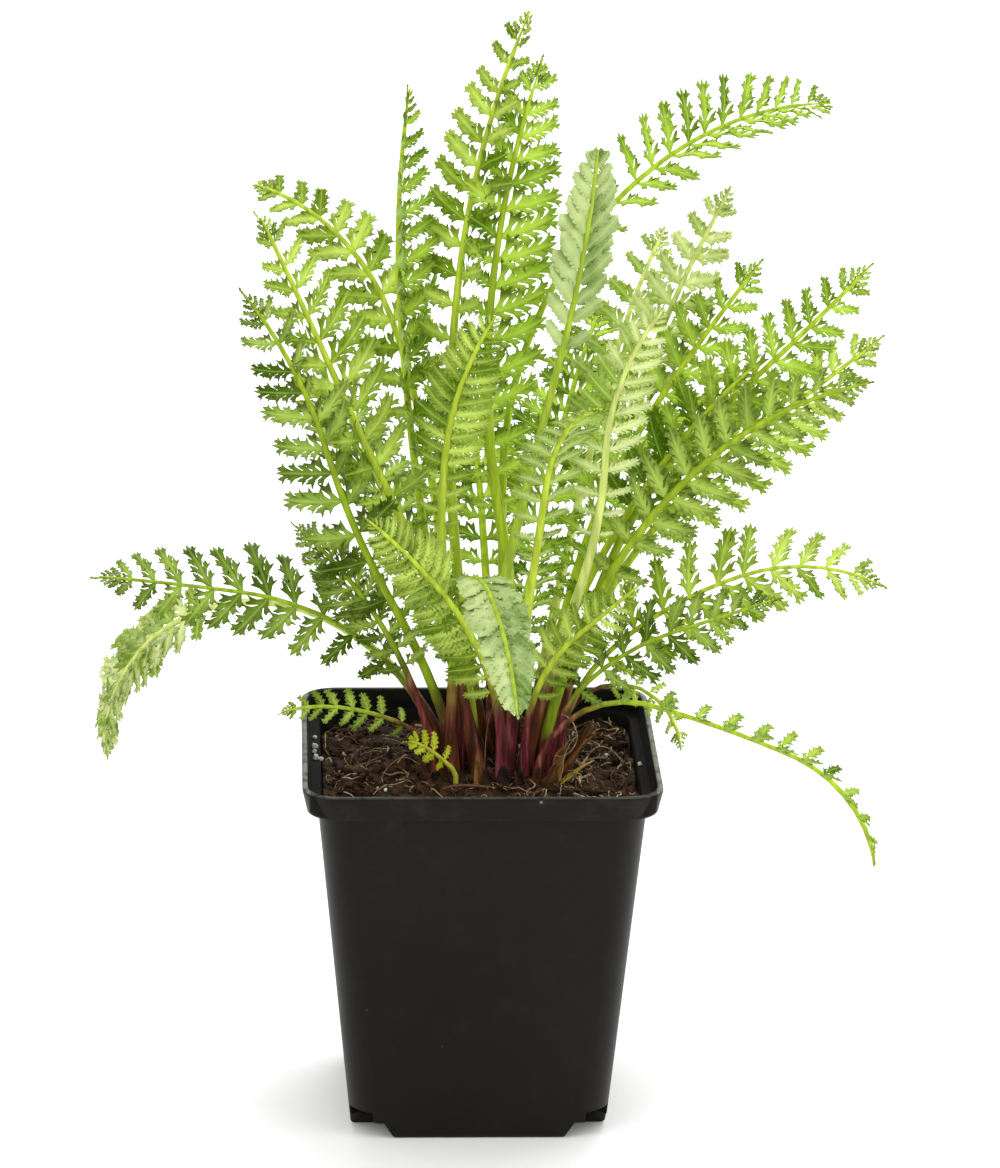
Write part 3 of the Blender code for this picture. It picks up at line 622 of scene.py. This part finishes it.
def rowOfLeaflets(spine, rows, pitch, low, rng):
    # the solid's own leaflets, set closer as on the real frond, and smaller ones out to the tip
    if not rows:
        return []
    start, span = rows[0][0], rows[-1][0] - rows[0][0]
    count = max(1, round(span / pitch * spine.crowding))
    fuller = []
    for k in range(count + 1):
        reach = start + span * (k / count) ** growth["closer"]
        after = next((row for row in rows if row[0] >= reach - 0.01), rows[-1])
        before = next((row for row in reversed(rows) if row[0] <= reach + 0.01), rows[0])
        share = (reach - before[0]) / max(after[0] - before[0], 0.01)
        values = [a + (b - a) * share for a, b in zip(before, after)]
        fuller.append((reach + rng.uniform(-0.1, 0.1) * pitch / spine.crowding, *values[1:]))
    middle, length, sweep, lift = rows[0]
    for k in range(low):
        shorter = 0.85 * (1 - k / (low + 1))
        fuller.append((middle - (k + 1) * 1.2 * pitch / spine.crowding, length * shorter, sweep, lift))
    if spine.length - rows[-1][0] < 2.5 * pitch:
        middle, length, sweep, lift = rows[-1]
        for share in (0.30, 0.55, 0.78):
            fuller.append((middle + (spine.length - middle) * share, length * (0.85 - 0.70 * share), sweep - 34 * share, lift))
    return fuller


def makeFrond(name, seed):
    spine = Spine(fronds[name])
    found, pitch = placedLeaflets(name, spine, seed)
    rng = random.Random(100 + seed)
    half = 0.5 * growth["leafletBase"] * pitch
    models = leafletModels[spine.kind]
    leaves = []
    for side, rows in found.items():
        for middle, length, sweep, lift in rowOfLeaflets(spine, rows, pitch, lowLeaflets.get(name, 0), rng):
            if spine.kind == "ribbon":
                sweep *= 0.66
            place = Placed(spine, middle - half, middle + half, side, length * 1.04,
                           math.radians(sweep), math.radians(lift + rng.uniform(-6, 6)))
            # each leaflet's tone is random, plus painted light: leaflets pointing right (+X) lean to the painted lit
            # colour and those pointing left to the painted shade colour, plus the frond's own shift
            tone = rng.gauss(0.47, 0.36) + (0.14 if place.axis.x > 0 else -0.10) + paintedLitShift.get(name, 0)
            # painted light on ribbon fronds: the half pointing left is painted lit, the half pointing right painted
            # shade
            if spine.kind == "ribbon":
                tone = 0.3 * tone + (0.78 if place.axis.x < 0 else 0.28)
            leaves.append(layLeaflet(rng.choice(models), place, rng, 0.03, tone, slender.get(name, 1.0)))
    end = Placed(spine, spine.length * 0.97, spine.length * 0.985, 1, 0.36 * spine.leaflet, 0.05, math.radians(spine.lift))
    end.middle = spine.point(spine.length * 0.98)
    leaves.append(layLeaflet(models[0], end, rng, 0.0, 0.6, 0.4))
    blade = joined(leaves, "blade")
    upperSide, underside = leafMaterials[spine.tint]
    blade.data.materials.clear()
    blade.data.materials.append(upperSide)
    blade.data.materials.append(underside)
    applyModifier(blade, "SOLIDIFY", thickness=leaflet["thickness"], offset=0.0, use_even_offset=False,
                  use_rim=True, material_offset=1, material_offset_rim=0)
    paler = 3.0 if name in greenFeet else rng.uniform(0.6, 1.4)
    raised = 9.0 if spine.tint == "young" else 0.0
    stalk = makeStalk("stalk", spine, paler, raised, rng.random())
    stalk.data.materials.append(upperSide)
    words = name.split("_")
    pieceName = words[0] + "".join(word.capitalize() for word in words[1:]) + "Frond"
    frond = joined([blade, stalk], pieceName)
    return addPiece(frond, ["frond_" + name])


leafCount = 0
for number, frondName in enumerate(fronds):
    made = makeFrond(frondName, number)
    leafCount += sum(len(face.vertices) - 2 for face in made.data.polygons)
for models in leafletModels.values():
    for model in models:
        bpy.data.objects.remove(model)
print("fronds", len(fronds), "with triangles", leafCount)


# Pot: a tapered square tub that steps out to a thin-lipped collar
pot = {
    "baseHalf": 32.4, "topHalf": 41.7, "height": 95.5, "corner": 8.0, "cornerSteps": 10, "baseRound": 1.0,
    "floor": 6.2, "footHalf": 21.5, "footSlope": 2.7, "cornerLift": 4.2,
    "drainReach": 41.32, "drainLength": 9.0, "drainWidth": 8.0, "drainHeight": 6.0,
    "edgeRound": 0.22 * mm,
}
# half width and height of each ring, from the step under the collar out, over the lip and down to the ledge
rimRings = (
    (43.3, 88.9), (43.6, 89.0), (43.8, 89.3), (44.92, 94.5), (44.98, 94.9), (44.88, 95.2), (44.62, 95.42), (44.3, 95.5),
    (43.95, 95.46), (43.65, 95.3), (43.45, 94.95), (43.3, 94.3), (42.65, 90.5), (42.3, 90.25), (40.5, 90.15), (40.2, 89.9),
)


def pickFaces(piece, test):
    mesh = bmesh.from_edit_mesh(piece.data)
    for part in (*mesh.verts, *mesh.edges, *mesh.faces):
        part.select = False
    for face in mesh.faces:
        if test(face):
            face.select_set(True)
    bmesh.update_edit_mesh(piece.data)


def cutAway(piece, cutter):
    applyModifier(piece, "BOOLEAN", operation="DIFFERENCE", solver="EXACT", object=cutter)
    bpy.data.objects.remove(cutter)


def makePot():
    deselectAll()
    under = rimRings[0][1]
    bpy.ops.mesh.primitive_cube_add(size=2 * pot["baseHalf"] * mm, location=(0, 0, 0))
    piece = bpy.context.object
    piece.name = "nurseryPot"
    bpy.ops.object.mode_set(mode="EDIT")
    mesh = bmesh.from_edit_mesh(piece.data)
    topHalf = pot["baseHalf"] + (pot["topHalf"] - pot["baseHalf"]) * under / pot["height"]
    for vertex in mesh.verts:
        top = vertex.co.z > 0
        half = topHalf if top else pot["baseHalf"]
        vertex.co.x = math.copysign(half * mm, vertex.co.x)
        vertex.co.y = math.copysign(half * mm, vertex.co.y)
        vertex.co.z = under * mm if top else 0.0
    for part in (*mesh.verts, *mesh.edges, *mesh.faces):
        part.select = False
    bpy.ops.mesh.select_mode(type="EDGE")
    for edge in mesh.edges:
        edge.select = abs(edge.verts[0].co.z - edge.verts[1].co.z) > 10 * mm
    bmesh.update_edit_mesh(piece.data)
    bpy.ops.mesh.bevel(offset=pot["corner"] * mm, segments=pot["cornerSteps"], profile=0.5, affect="EDGES")
    pickFaces(piece, lambda face: face.normal.z < -0.99)
    bpy.ops.mesh.bevel(offset=pot["baseRound"] * mm, segments=3, profile=0.5, affect="EDGES")
    pickFaces(piece, lambda face: face.normal.z > 0.99)
    last, lastHalf = under, topHalf
    floorHalf = pot["baseHalf"] + (pot["topHalf"] - pot["baseHalf"]) * pot["floor"] / pot["height"] - 1.1
    for half, z in (*rimRings, (floorHalf, pot["floor"])):
        bpy.ops.mesh.extrude_region_move(TRANSFORM_OT_translate={"value": (0, 0, (z - last) * mm)})
        ratio = half / lastHalf
        bpy.ops.transform.resize(value=(ratio, ratio, 1), center_override=(0, 0, z * mm))
        last, lastHalf = z, half
    bpy.ops.object.mode_set(mode="OBJECT")
    for sx, sy in ((1, 1), (-1, 1), (-1, -1), (1, -1)):
        cutAway(piece, cornerCutter(sx, sy))
    for turn in range(4):
        cutAway(piece, drainCutter(math.radians(45 + 90 * turn)))
    applyModifier(piece, "BEVEL", width=pot["edgeRound"], segments=2, limit_method="ANGLE",
                  angle_limit=math.radians(38), harden_normals=False)
    useAlone(piece)
    bpy.ops.object.shade_smooth_by_angle(angle=math.radians(32))
    return piece


def cornerCutter(sx, sy):
    deselectAll()
    bpy.ops.mesh.primitive_cube_add(size=1, location=(0, 0, 0))
    cutter = bpy.context.object
    low, high, far = -2.0, pot["cornerLift"], 45.0
    slope = pot["footSlope"] / pot["cornerLift"]
    for vertex in cutter.data.vertices:
        z = high if vertex.co.z > 0 else low
        near = pot["footHalf"] + slope * z
        x = far if vertex.co.x > 0 else near
        y = far if vertex.co.y > 0 else near
        vertex.co = Vector((sx * x, sy * y, z)) * mm
    if sx * sy < 0:
        cutter.data.flip_normals()
    return cutter


def drainCutter(angle):
    deselectAll()
    bpy.ops.mesh.primitive_cube_add(size=1, location=(0, 0, 0))
    cutter = bpy.context.object
    size = Matrix.Diagonal((pot["drainLength"] * mm, pot["drainWidth"] * mm, pot["drainHeight"] * mm, 1))
    out = pot["drainReach"] * mm
    place = Matrix.Translation((out * math.cos(angle), out * math.sin(angle), pot["cornerLift"] * mm))
    cutter.data.transform(place @ Matrix.Rotation(angle, 4, "Z") @ size)
    return cutter


def plasticFinish():
    plastic = Finish("blackPlastic")
    where = plastic.place()
    cloud = plastic.noise(where, 28.0, 3.0)
    grain = plastic.noise(where, 1500.0, 2.0)
    height = plastic.axis(where, "Z")
    specks = plastic.node("TexVoronoi", {"feature": "F1"}, {"Vector": where, "Scale": 210.0, "Randomness": 1.0})
    chosen = plastic.node("TexVoronoi", {"feature": "F1"}, {"Vector": where, "Scale": 210.0, "Randomness": 1.0}, out=1)
    rare = plastic.axis(chosen, "X").steps(0.945, 0.955)
    high = height.steps(0.078, 0.090)
    dust = (1.0 - specks.steps(0.05, 0.11)) * rare * (0.12 + 0.88 * high)
    film = plastic.noise(where, 120.0, 4.0, 0.65).steps(0.48, 0.78) * (0.10 + 0.35 * high)
    base = plastic.mix(cloud, (0.0046, 0.0038, 0.0029), (0.0074, 0.0063, 0.0050))
    dusty = plastic.mix(film * 0.35, base, (0.075, 0.068, 0.056))
    # painted highlight: a pale band, broken by noise, along the top of the lip and stronger on the left and right lips,
    # in place of light caught by the rounded lip
    paintedLipHighlight = height.steps(0.0950, 0.09535) * plastic.noise(where, 300.0, 3.0).steps(0.25, 0.55)
    lipHighlightSides = abs(plastic.axis(where, "X")).steps(0.0400, 0.0430)
    pale = plastic.mix(paintedLipHighlight * (0.22 + 0.55 * lipHighlightSides), dusty, (0.200, 0.205, 0.165))
    edge = abs(plastic.axis(where, "X"))
    edge = edge.maths("MAXIMUM", edge, abs(plastic.axis(where, "Y")))
    # painted shade: inside the rim, below the lip, the inner wall and ledge are darkened towards black and made rougher
    inside = (1.0 - edge.steps(0.0428, 0.0434)) * height.steps(0.0892, 0.0900)
    colour = plastic.mix(inside * 0.6, plastic.mix(dust, pale, (0.17, 0.155, 0.13)), (0.0016, 0.0013, 0.0010))
    inputs = {
        "Base Color": colour,
        "Roughness": 0.36 + cloud * 0.10 + film * 0.25 + inside * 0.45,
        "Normal": plastic.bump(grain + cloud * 2.0, 0.00006, 0.35),
        "Specular IOR Level": 0.12,
    }
    return plastic.output(plastic.node("BsdfPrincipled", None, inputs))


nurseryPot = makePot()
nurseryPot.data.materials.clear()
nurseryPot.data.materials.append(plasticFinish())
addPiece(nurseryPot, ["pot"])
print("pot", len(nurseryPot.data.polygons))


# Peat: a lumpy block with crumbs and fibres on it
peat = {
    "half": 39.7, "corner": 6.7, "cells": 130, "lumps": 1.8, "lumpSize": 6.5, "grit": 0.9, "gritSize": 1.8,
    "floor": 6.6, "floorHalf": 31.4, "crumbs": 1100, "fibres": 520,
}


def peatHeight(x, y):
    lump = noise.noise(Vector((x, y, 3.0)) / peat["lumpSize"])
    grit = noise.noise(Vector((x, y, 9.0)) / peat["gritSize"])
    return soilHeight(x, y) + peat["lumps"] * lump + peat["grit"] * grit - 0.4


def keepInside(x, y, half, corner):
    # a point moved in to a rounded square's outline, if it lies outside
    inner = half - corner
    dx, dy = max(abs(x) - inner, 0), max(abs(y) - inner, 0)
    away = math.hypot(dx, dy)
    if away > corner:
        dx, dy = dx * corner / away, dy * corner / away
    return math.copysign(min(abs(x), inner) + dx, x), math.copysign(min(abs(y), inner) + dy, y)


def makePeat():
    deselectAll()
    bpy.ops.mesh.primitive_grid_add(x_subdivisions=peat["cells"], y_subdivisions=peat["cells"],
                                    size=2 * peat["half"] * mm, location=(0, 0, 0))
    piece = bpy.context.object
    piece.name = "peatSurface"
    for vertex in piece.data.vertices:
        x, y = keepInside(vertex.co.x / mm, vertex.co.y / mm, peat["half"], peat["corner"])
        vertex.co = Vector((x, y, peatHeight(x, y))) * mm
    bpy.ops.object.mode_set(mode="EDIT")
    bpy.ops.mesh.select_all(action="SELECT")
    bpy.ops.mesh.remove_doubles(threshold=0.05 * mm)
    bpy.ops.mesh.select_mode(type="EDGE")
    bpy.ops.mesh.select_all(action="DESELECT")
    bpy.ops.mesh.select_non_manifold()
    bpy.ops.mesh.extrude_region_move(TRANSFORM_OT_translate={"value": (0, 0, -20 * mm)})
    centre = (0, 0, 60 * mm)
    bpy.ops.transform.resize(value=(1, 1, 0), center_override=centre)
    bpy.ops.transform.resize(value=(0.92, 0.92, 1), center_override=centre)
    bpy.ops.mesh.extrude_region_move(TRANSFORM_OT_translate={"value": (0, 0, (peat["floor"] - 60) * mm)})
    ratio = peat["floorHalf"] / (0.92 * peat["half"])
    bpy.ops.transform.resize(value=(ratio, ratio, 1), center_override=(0, 0, peat["floor"] * mm))
    bpy.ops.mesh.edge_face_add()
    bpy.ops.mesh.select_all(action="SELECT")
    bpy.ops.mesh.normals_make_consistent(inside=False)
    bpy.ops.object.mode_set(mode="OBJECT")
    for face in piece.data.polygons:
        face.use_smooth = True
    return piece


def peatFinish():
    earth = Finish("moistPeat")
    where = earth.place()
    clod = earth.noise(where, 150.0, 4.0, 0.6)
    grain = earth.noise(where, 900.0, 4.0, 0.7)
    cell = earth.node("TexVoronoi", {"feature": "F1"}, {"Vector": where, "Scale": 420.0}, out=1)
    warm = earth.mix(clod.steps(0.35, 0.65), (0.0080, 0.0040, 0.0018), (0.036, 0.0170, 0.0066))
    warm = earth.mix(earth.axis(cell, "X").steps(0.62, 0.90) * 0.65, warm, (0.085, 0.036, 0.016))
    colour = earth.mix(grain.steps(0.54, 0.74) * 0.6, warm, (0.100, 0.055, 0.024))
    inputs = {
        "Base Color": colour,
        "Roughness": 0.92 - clod * 0.18,
        "Normal": earth.bump(grain + clod, 0.0006, 0.9),
        "Specular IOR Level": 0.14,
    }
    return earth.output(earth.node("BsdfPrincipled", None, inputs))


def fibreFinish(name, shades):
    fibre = Finish(name)
    where = fibre.place()
    tone = fibre.node("Attribute", {"attribute_name": "tone"}, out=2)
    dark, middle, pale = shades
    colour = fibre.mix(tone.steps(0.05, 0.55), dark, middle)
    colour = fibre.mix(tone.steps(0.55, 0.98), colour, pale)
    patch = fibre.noise(fibre.node("Mapping", None, {0: where, 3: (1.0, 1.0, 0.2)}), 900.0, 3.0)
    inputs = {
        "Base Color": fibre.mix(patch.steps(0.46, 0.66) * 0.7, colour, tuple(0.28 * c for c in middle)),
        "Roughness": 0.62 + patch * 0.2,
        "Normal": fibre.bump(fibre.noise(where, 2500.0, 3.0), 0.0001, 0.6),
        "Specular IOR Level": 0.25,
    }
    return fibre.output(fibre.node("BsdfPrincipled", None, inputs))


def makeCrumbs():
    rng = random.Random(21)
    deselectAll()
    bpy.ops.mesh.primitive_ico_sphere_add(subdivisions=1, radius=1, location=(0, 0, 0))
    model = bpy.context.object
    crumbs = []
    while len(crumbs) < peat["crumbs"]:
        x, y = (rng.uniform(-38.5, 38.5) for _ in range(2))
        if keepInside(x, y, 38.6, peat["corner"]) != (x, y):
            continue
        size = rng.uniform(0.35, 1.1) if rng.random() < 0.82 else rng.uniform(1.1, 2.2)
        crumb = copyOf(model)
        turn = Matrix.Rotation(rng.uniform(0, 6.3), 4, Vector((rng.gauss(0, 1), rng.gauss(0, 1), rng.gauss(0, 1))))
        stretch = Matrix.Diagonal((size, size * rng.uniform(0.6, 1.0), size * rng.uniform(0.4, 0.8), 1))
        for vertex in crumb.data.vertices:
            vertex.co *= rng.uniform(0.75, 1.2)
        place = Matrix.Translation(Vector((x, y, peatHeight(x, y) + 0.15 * size)))
        crumb.data.transform(Matrix.Scale(mm, 4) @ place @ turn @ stretch)
        crumbs.append(crumb)
    bpy.data.objects.remove(model)
    return joined(crumbs, "peatCrumbs")


def makeFibres():
    rng = random.Random(34)
    curve = bpy.data.curves.new("peatFibres", "CURVE")
    curve.dimensions = "3D"
    curve.bevel_depth = 1.0 * mm
    curve.bevel_resolution = 0
    curve.use_fill_caps = True
    tones = []
    while len(tones) < peat["fibres"]:
        x, y = (rng.uniform(-38, 38) for _ in range(2))
        if rng.random() > 0.5 + 0.5 * (x > 8):
            continue
        tone = rng.random() ** (0.6 if x > 8 else 1.4)
        long = rng.uniform(2.5, 8.0) if rng.random() < 0.8 else rng.uniform(8.0, 17.0)
        heading = rng.uniform(0, 2 * math.pi)
        curl = rng.uniform(-0.75, 0.75)
        hump = rng.uniform(0.0, 1.0) + 1.6 * max(tone - 0.6, 0)
        thick = rng.uniform(0.12, 0.24) + 0.14 * rng.random() ** 3
        points = []
        for k in range(8):
            share = k / 7
            x, y = keepInside(x, y, 38.8, peat["corner"])
            z = peatHeight(x, y) + thick * 0.6 + hump * math.sin(math.pi * share) ** 2
            points.append((x * mm, y * mm, z * mm))
            heading += curl + rng.uniform(-0.3, 0.3)
            x += long / 7 * math.cos(heading)
            y += long / 7 * math.sin(heading)
        line = curve.splines.new("POLY")
        line.points.add(len(points) - 1)
        for k, (point, place) in enumerate(zip(line.points, points)):
            point.co = (*place, 1)
            point.radius = thick * (1.0 - 0.6 * abs(k / 7 - 0.4))
        tones.append(tone)
    return meshOfCurve("peatFibres", curve, tones)


def meshOfCurve(name, curve, tones):
    # each line of the curve has as many corners as the others, and a tone of its own
    piece = bpy.data.objects.new(name, curve)
    bpy.context.collection.objects.link(piece)
    useAlone(piece)
    bpy.ops.object.convert(target="MESH")
    piece = bpy.context.object
    corners = len(piece.data.vertices) // len(tones)
    mark(piece.data, "tone", 0.5)
    piece.data.attributes["tone"].data.foreach_set("value", [tone for tone in tones for _ in range(corners)])
    for face in piece.data.polygons:
        face.use_smooth = True
    return piece


# Perlite: a few white grains on the ledge and on the peat
perliteGrains = (
    # place and size
    ((-41.6, 10.5, 90.5), 0.75), ((-41.7, 6.6, 90.4), 0.55), ((-41.3, 1.5, 90.5), 0.8), ((-40.0, 1.2, 90.2), 0.55),
    ((-41.5, 18.0, 90.5), 0.5), ((40.9, -4.0, 90.5), 0.5), ((33.0, 8.0, 88.9), 0.45), ((22.0, -24.0, 89.9), 0.5),
    ((-24.0, -22.0, 89.8), 0.4), ((11.0, -30.0, 89.6), 0.45),
)


def makePerlite():
    rng = random.Random(5)
    grains = []
    for place, size in perliteGrains:
        deselectAll()
        bpy.ops.mesh.primitive_ico_sphere_add(subdivisions=2, radius=size * mm, location=(0, 0, 0))
        grain = bpy.context.object
        for vertex in grain.data.vertices:
            vertex.co = vertex.co * rng.uniform(0.9, 1.4) + Vector(place) * mm
        grains.append(grain)
    return joined(grains, "perlite")


def perliteFinish():
    grain = Finish("perlite")
    tone = grain.noise(grain.place(), 900.0, 2.0)
    colour = grain.mix(tone, (0.50, 0.48, 0.43), (0.85, 0.83, 0.77))
    return grain.output(grain.node("BsdfPrincipled", None, {"Base Color": colour, "Roughness": 0.8}))


# Crown: dry sheaths of old leaves round the stalks' feet
drySheaths = (
    # foot, heading, lean at its foot and its tip, length, width, tone
    ((18.2, -12.6), -25, (6, 22), 13, 3.0, 0.50),
    ((20.8, -10.4), 5, (42, 60), 11, 2.8, 0.85),
    ((21.0, -6.0), -10, (24, 44), 16, 3.0, 0.60),
    ((23.0, -2.0), 15, (20, 38), 15, 2.8, 0.40),
    ((19.8, -9.4), -60, (8, 30), 14, 2.6, 0.70),
    ((16.6, -14.2), -40, (14, 34), 9, 2.4, 0.30),
    ((1.8, -18.2), -95, (4, 16), 8, 4.4, 0.10),
    ((6.0, -18.4), -85, (2, 14), 9, 4.6, 0.04),
    ((-1.4, -17.4), -120, (-14, 6), 10, 2.2, 0.62),
    ((9.4, -17.4), -75, (6, 20), 8, 3.6, 0.08),
    ((13.6, -16.6), -60, (8, 30), 8, 3.0, 0.20),
    ((-9.4, -13.2), -130, (6, 24), 7, 3.4, 0.15),
    ((-13.6, -6.5), 190, (14, 34), 8, 3.2, 0.22),
    ((23.8, 4.0), 10, (16, 36), 14, 3.2, 0.35),
    ((8.0, 21.5), 80, (12, 30), 12, 3.6, 0.30),
    ((-6.0, 15.5), 130, (12, 30), 11, 3.6, 0.25),
)


def makeSheaths():
    rng = random.Random(9)
    made = []
    for (x, y), heading, leans, long, wide, tone in drySheaths:
        deselectAll()
        bpy.ops.mesh.primitive_grid_add(x_subdivisions=6, y_subdivisions=14, size=1, location=(0, 0, 0))
        sheath = bpy.context.object
        turn = math.radians(heading)
        way, side = Vector((math.cos(turn), math.sin(turn), 0)), Vector((-math.sin(turn), math.cos(turn), 0))
        foot = Vector((x, y, soilHeight(x, y) - 1.5))
        twist = rng.uniform(-0.5, 0.5)
        for vertex in sheath.data.vertices:
            across, along = 2 * vertex.co.x, vertex.co.y + 0.5
            half = 0.5 * wide * (1.0 - 0.72 * along**1.6)
            torn = along * (1.0 - 0.16 * rng.random() * (along > 0.9) - 0.10 * abs(across) * along)
            lean = math.radians(leans[0] + 0.5 * (leans[1] - leans[0]) * torn)
            up = long * torn * (math.sin(lean) * way + Vector((0, 0, math.cos(lean))))
            out = -0.8 * across**2 * half + 0.25 * math.sin(9 * along + 3 * across) * half
            vertex.co = (foot + up + (across * half + twist * along * half) * side + out * way) * mm
        mark(sheath.data, "tone", tone)
        made.append(sheath)
    sheaths = joined(made, "drySheaths")
    applyModifier(sheaths, "SOLIDIFY", thickness=0.3 * mm, offset=0.0, use_even_offset=False)
    for face in sheaths.data.polygons:
        face.use_smooth = True
    return sheaths


# Loose threads at the crown: each one's thickness, tone and the places it runs through
looseThreads = (
    (0.17, 0.85, ((20.4, -14, 107.2), (22.3, -14, 106.0), (23.8, -14, 103.6), (24.3, -14, 100.6), (23.4, -14, 98.2),
                  (21.6, -14, 96.4), (20.0, -14, 95.9), (18.8, -14, 96.3))),
    (0.14, 0.80, ((24.2, -14, 101.4), (22.9, -14.2, 99.8), (21.9, -14.4, 98.0), (21.0, -14.6, 95.6), (20.8, -14.8, 93.0),
                  (20.3, -15.2, 90.8), (19.4, -16, 89.2), (18.8, -17, 88.4))),
    (0.13, 0.60, ((4.6, -15.4, 112.5), (3.2, -15.8, 110.0), (2.0, -16.2, 106.5), (1.4, -16.6, 102.5), (1.1, -17.0, 98.5),
                  (1.0, -17.4, 94.5), (0.8, -17.8, 91.0), (0.4, -18.6, 88.6))),
    (0.42, 0.40, ((-9.2, -20.6, 89.6), (-7.4, -20.9, 90.3), (-5.4, -21.2, 90.6), (-3.2, -21.4, 90.7), (-1.0, -21.4, 90.6),
                  (1.0, -21.2, 90.3), (2.6, -20.8, 90.0), (3.8, -20.2, 89.5))),
    (0.20, 0.75, ((12.2, -19.0, 91.6), (13.0, -19.4, 91.0), (13.6, -20.0, 90.4), (13.2, -20.8, 90.0), (12.2, -21.6, 89.8),
                  (11.6, -22.6, 89.6), (11.4, -23.8, 89.4), (11.8, -25.0, 89.2))),
    (0.16, 0.65, ((-16.0, -8.0, 92.2), (-18.0, -7.5, 93.4), (-20.4, -7.6, 93.2), (-22.2, -8.4, 92.2), (-23.6, -9.6, 91.0),
                  (-24.4, -11.0, 90.2), (-24.8, -12.6, 89.7), (-24.6, -14.2, 89.4))),
    (0.15, 0.80, ((28.0, 2.0, 90.6), (29.6, 3.6, 92.0), (31.6, 4.4, 92.4), (33.6, 4.2, 91.8), (35.2, 3.2, 90.8),
                  (36.2, 1.8, 90.0), (36.6, 0.2, 89.6), (36.4, -1.6, 89.2))),
)


def makeThreads():
    curve = bpy.data.curves.new("looseThreads", "CURVE")
    curve.dimensions = "3D"
    curve.bevel_depth = 1.0 * mm
    curve.bevel_resolution = 1
    curve.resolution_u = 6
    curve.use_fill_caps = True
    for thick, _, places in looseThreads:
        line = curve.splines.new("BEZIER")
        line.bezier_points.add(len(places) - 1)
        for k, (point, place) in enumerate(zip(line.bezier_points, places)):
            point.co = Vector(place) * mm
            point.handle_left_type = point.handle_right_type = "AUTO"
            point.radius = thick * (1.0 - 0.5 * abs(k / (len(places) - 1) - 0.5))
    return meshOfCurve("looseThreads", curve, [tone for _, tone, _ in looseThreads])


def dressed(piece, material, nodes):
    piece.data.materials.clear()
    piece.data.materials.append(material)
    return addPiece(piece, nodes)


moistPeat = peatFinish()
dryShades = ((0.030, 0.015, 0.008), (0.150, 0.078, 0.034), (0.52, 0.37, 0.20))
sheathShades = ((0.022, 0.008, 0.005), (0.230, 0.090, 0.022), (0.56, 0.42, 0.08))
peatSurface = dressed(makePeat(), moistPeat, ["soil"])
peatCrumbs = dressed(makeCrumbs(), moistPeat, [])
peatFibres = dressed(makeFibres(), fibreFinish("peatFibre", dryShades), [])
looseFibres = dressed(makeThreads(), fibreFinish("paleThread", dryShades), [])
perlite = dressed(makePerlite(), perliteFinish(), [])
sheaths = dressed(makeSheaths(), fibreFinish("dryLeaf", sheathShades), [])
print("peat", len(peatSurface.data.polygons), len(peatCrumbs.data.polygons), len(peatFibres.data.polygons))


# Studio: a pale floor, soft lights and the camera
studio = {
    "floorSize": 9.0, "floorColour": (0.94, 0.94, 0.93), "sky": (1.0, 1.0, 1.0), "skyStrength": 0.80,
    "cameraAt": (-51.0, -1499.1, 592.9), "lookAt": (5.0, -0.2, 137.2), "roll": 0.617, "lens": 191.5,
}
softLights = {
    # name: place, aimed at, width, height, watts
    "keyLeft": ((-0.95, -0.85, 1.05), (0, 0, 0.15), 1.2, 1.2, 7.0),
    "fillRight": ((1.25, -0.55, 0.75), (0, 0, 0.12), 1.1, 1.3, 6.5),
    "backTop": ((0.25, 1.15, 1.15), (0, 0, 0.18), 1.2, 0.9, 14.0),
    "overhead": ((0.0, -0.1, 1.7), (0, 0, 0.15), 1.3, 1.3, 7.0),
    "edgeRight": ((1.05, 0.80, 0.40), (0, 0, 0.10), 0.6, 1.0, 5.5),
}


def makeStudio():
    deselectAll()
    bpy.ops.mesh.primitive_plane_add(size=studio["floorSize"], location=(0, 0, 0))
    floor = bpy.context.object
    floor.name = "studioFloor"
    card = Finish("paleFloor")
    soft = card.noise(card.place(), 3.0, 2.0)
    tone = card.mix(soft * 0.3, studio["floorColour"], tuple(0.98 * c for c in studio["floorColour"]))
    floor.data.materials.append(card.output(card.node("BsdfPrincipled", None, {
        "Base Color": tone, "Roughness": 0.85, "Specular IOR Level": 0.2})))
    world = bpy.data.worlds.new("studioWorld")
    world.use_nodes = True
    background = world.node_tree.nodes["Background"]
    background.inputs["Color"].default_value = (*studio["sky"], 1.0)
    background.inputs["Strength"].default_value = studio["skyStrength"]
    bpy.context.scene.world = world
    for name, (place, aim, width, height, watts) in softLights.items():
        data = bpy.data.lights.new(name, "AREA")
        data.shape, data.size, data.size_y, data.energy = "RECTANGLE", width, height, watts
        lamp = bpy.data.objects.new(name, data)
        bpy.context.collection.objects.link(lamp)
        lamp.location = place
        lamp.rotation_euler = (Vector(aim) - Vector(place)).to_track_quat("-Z", "Y").to_euler()
    data = bpy.data.cameras.new("studioCamera")
    data.sensor_fit, data.sensor_height, data.lens = "VERTICAL", 36.0, studio["lens"]
    camera = bpy.data.objects.new("studioCamera", data)
    bpy.context.collection.objects.link(camera)
    camera.location = Vector(studio["cameraAt"]) * mm
    way = Vector(studio["lookAt"]) - Vector(studio["cameraAt"])
    turned = way.to_track_quat("-Z", "Y").to_matrix().to_4x4() @ Matrix.Rotation(math.radians(studio["roll"]), 4, "Z")
    camera.rotation_euler = turned.to_euler()
    data.clip_end = 30.0
    bpy.context.scene.camera = camera
    bpy.context.scene.view_settings.view_transform = "Standard"


makeStudio()
print("studio")
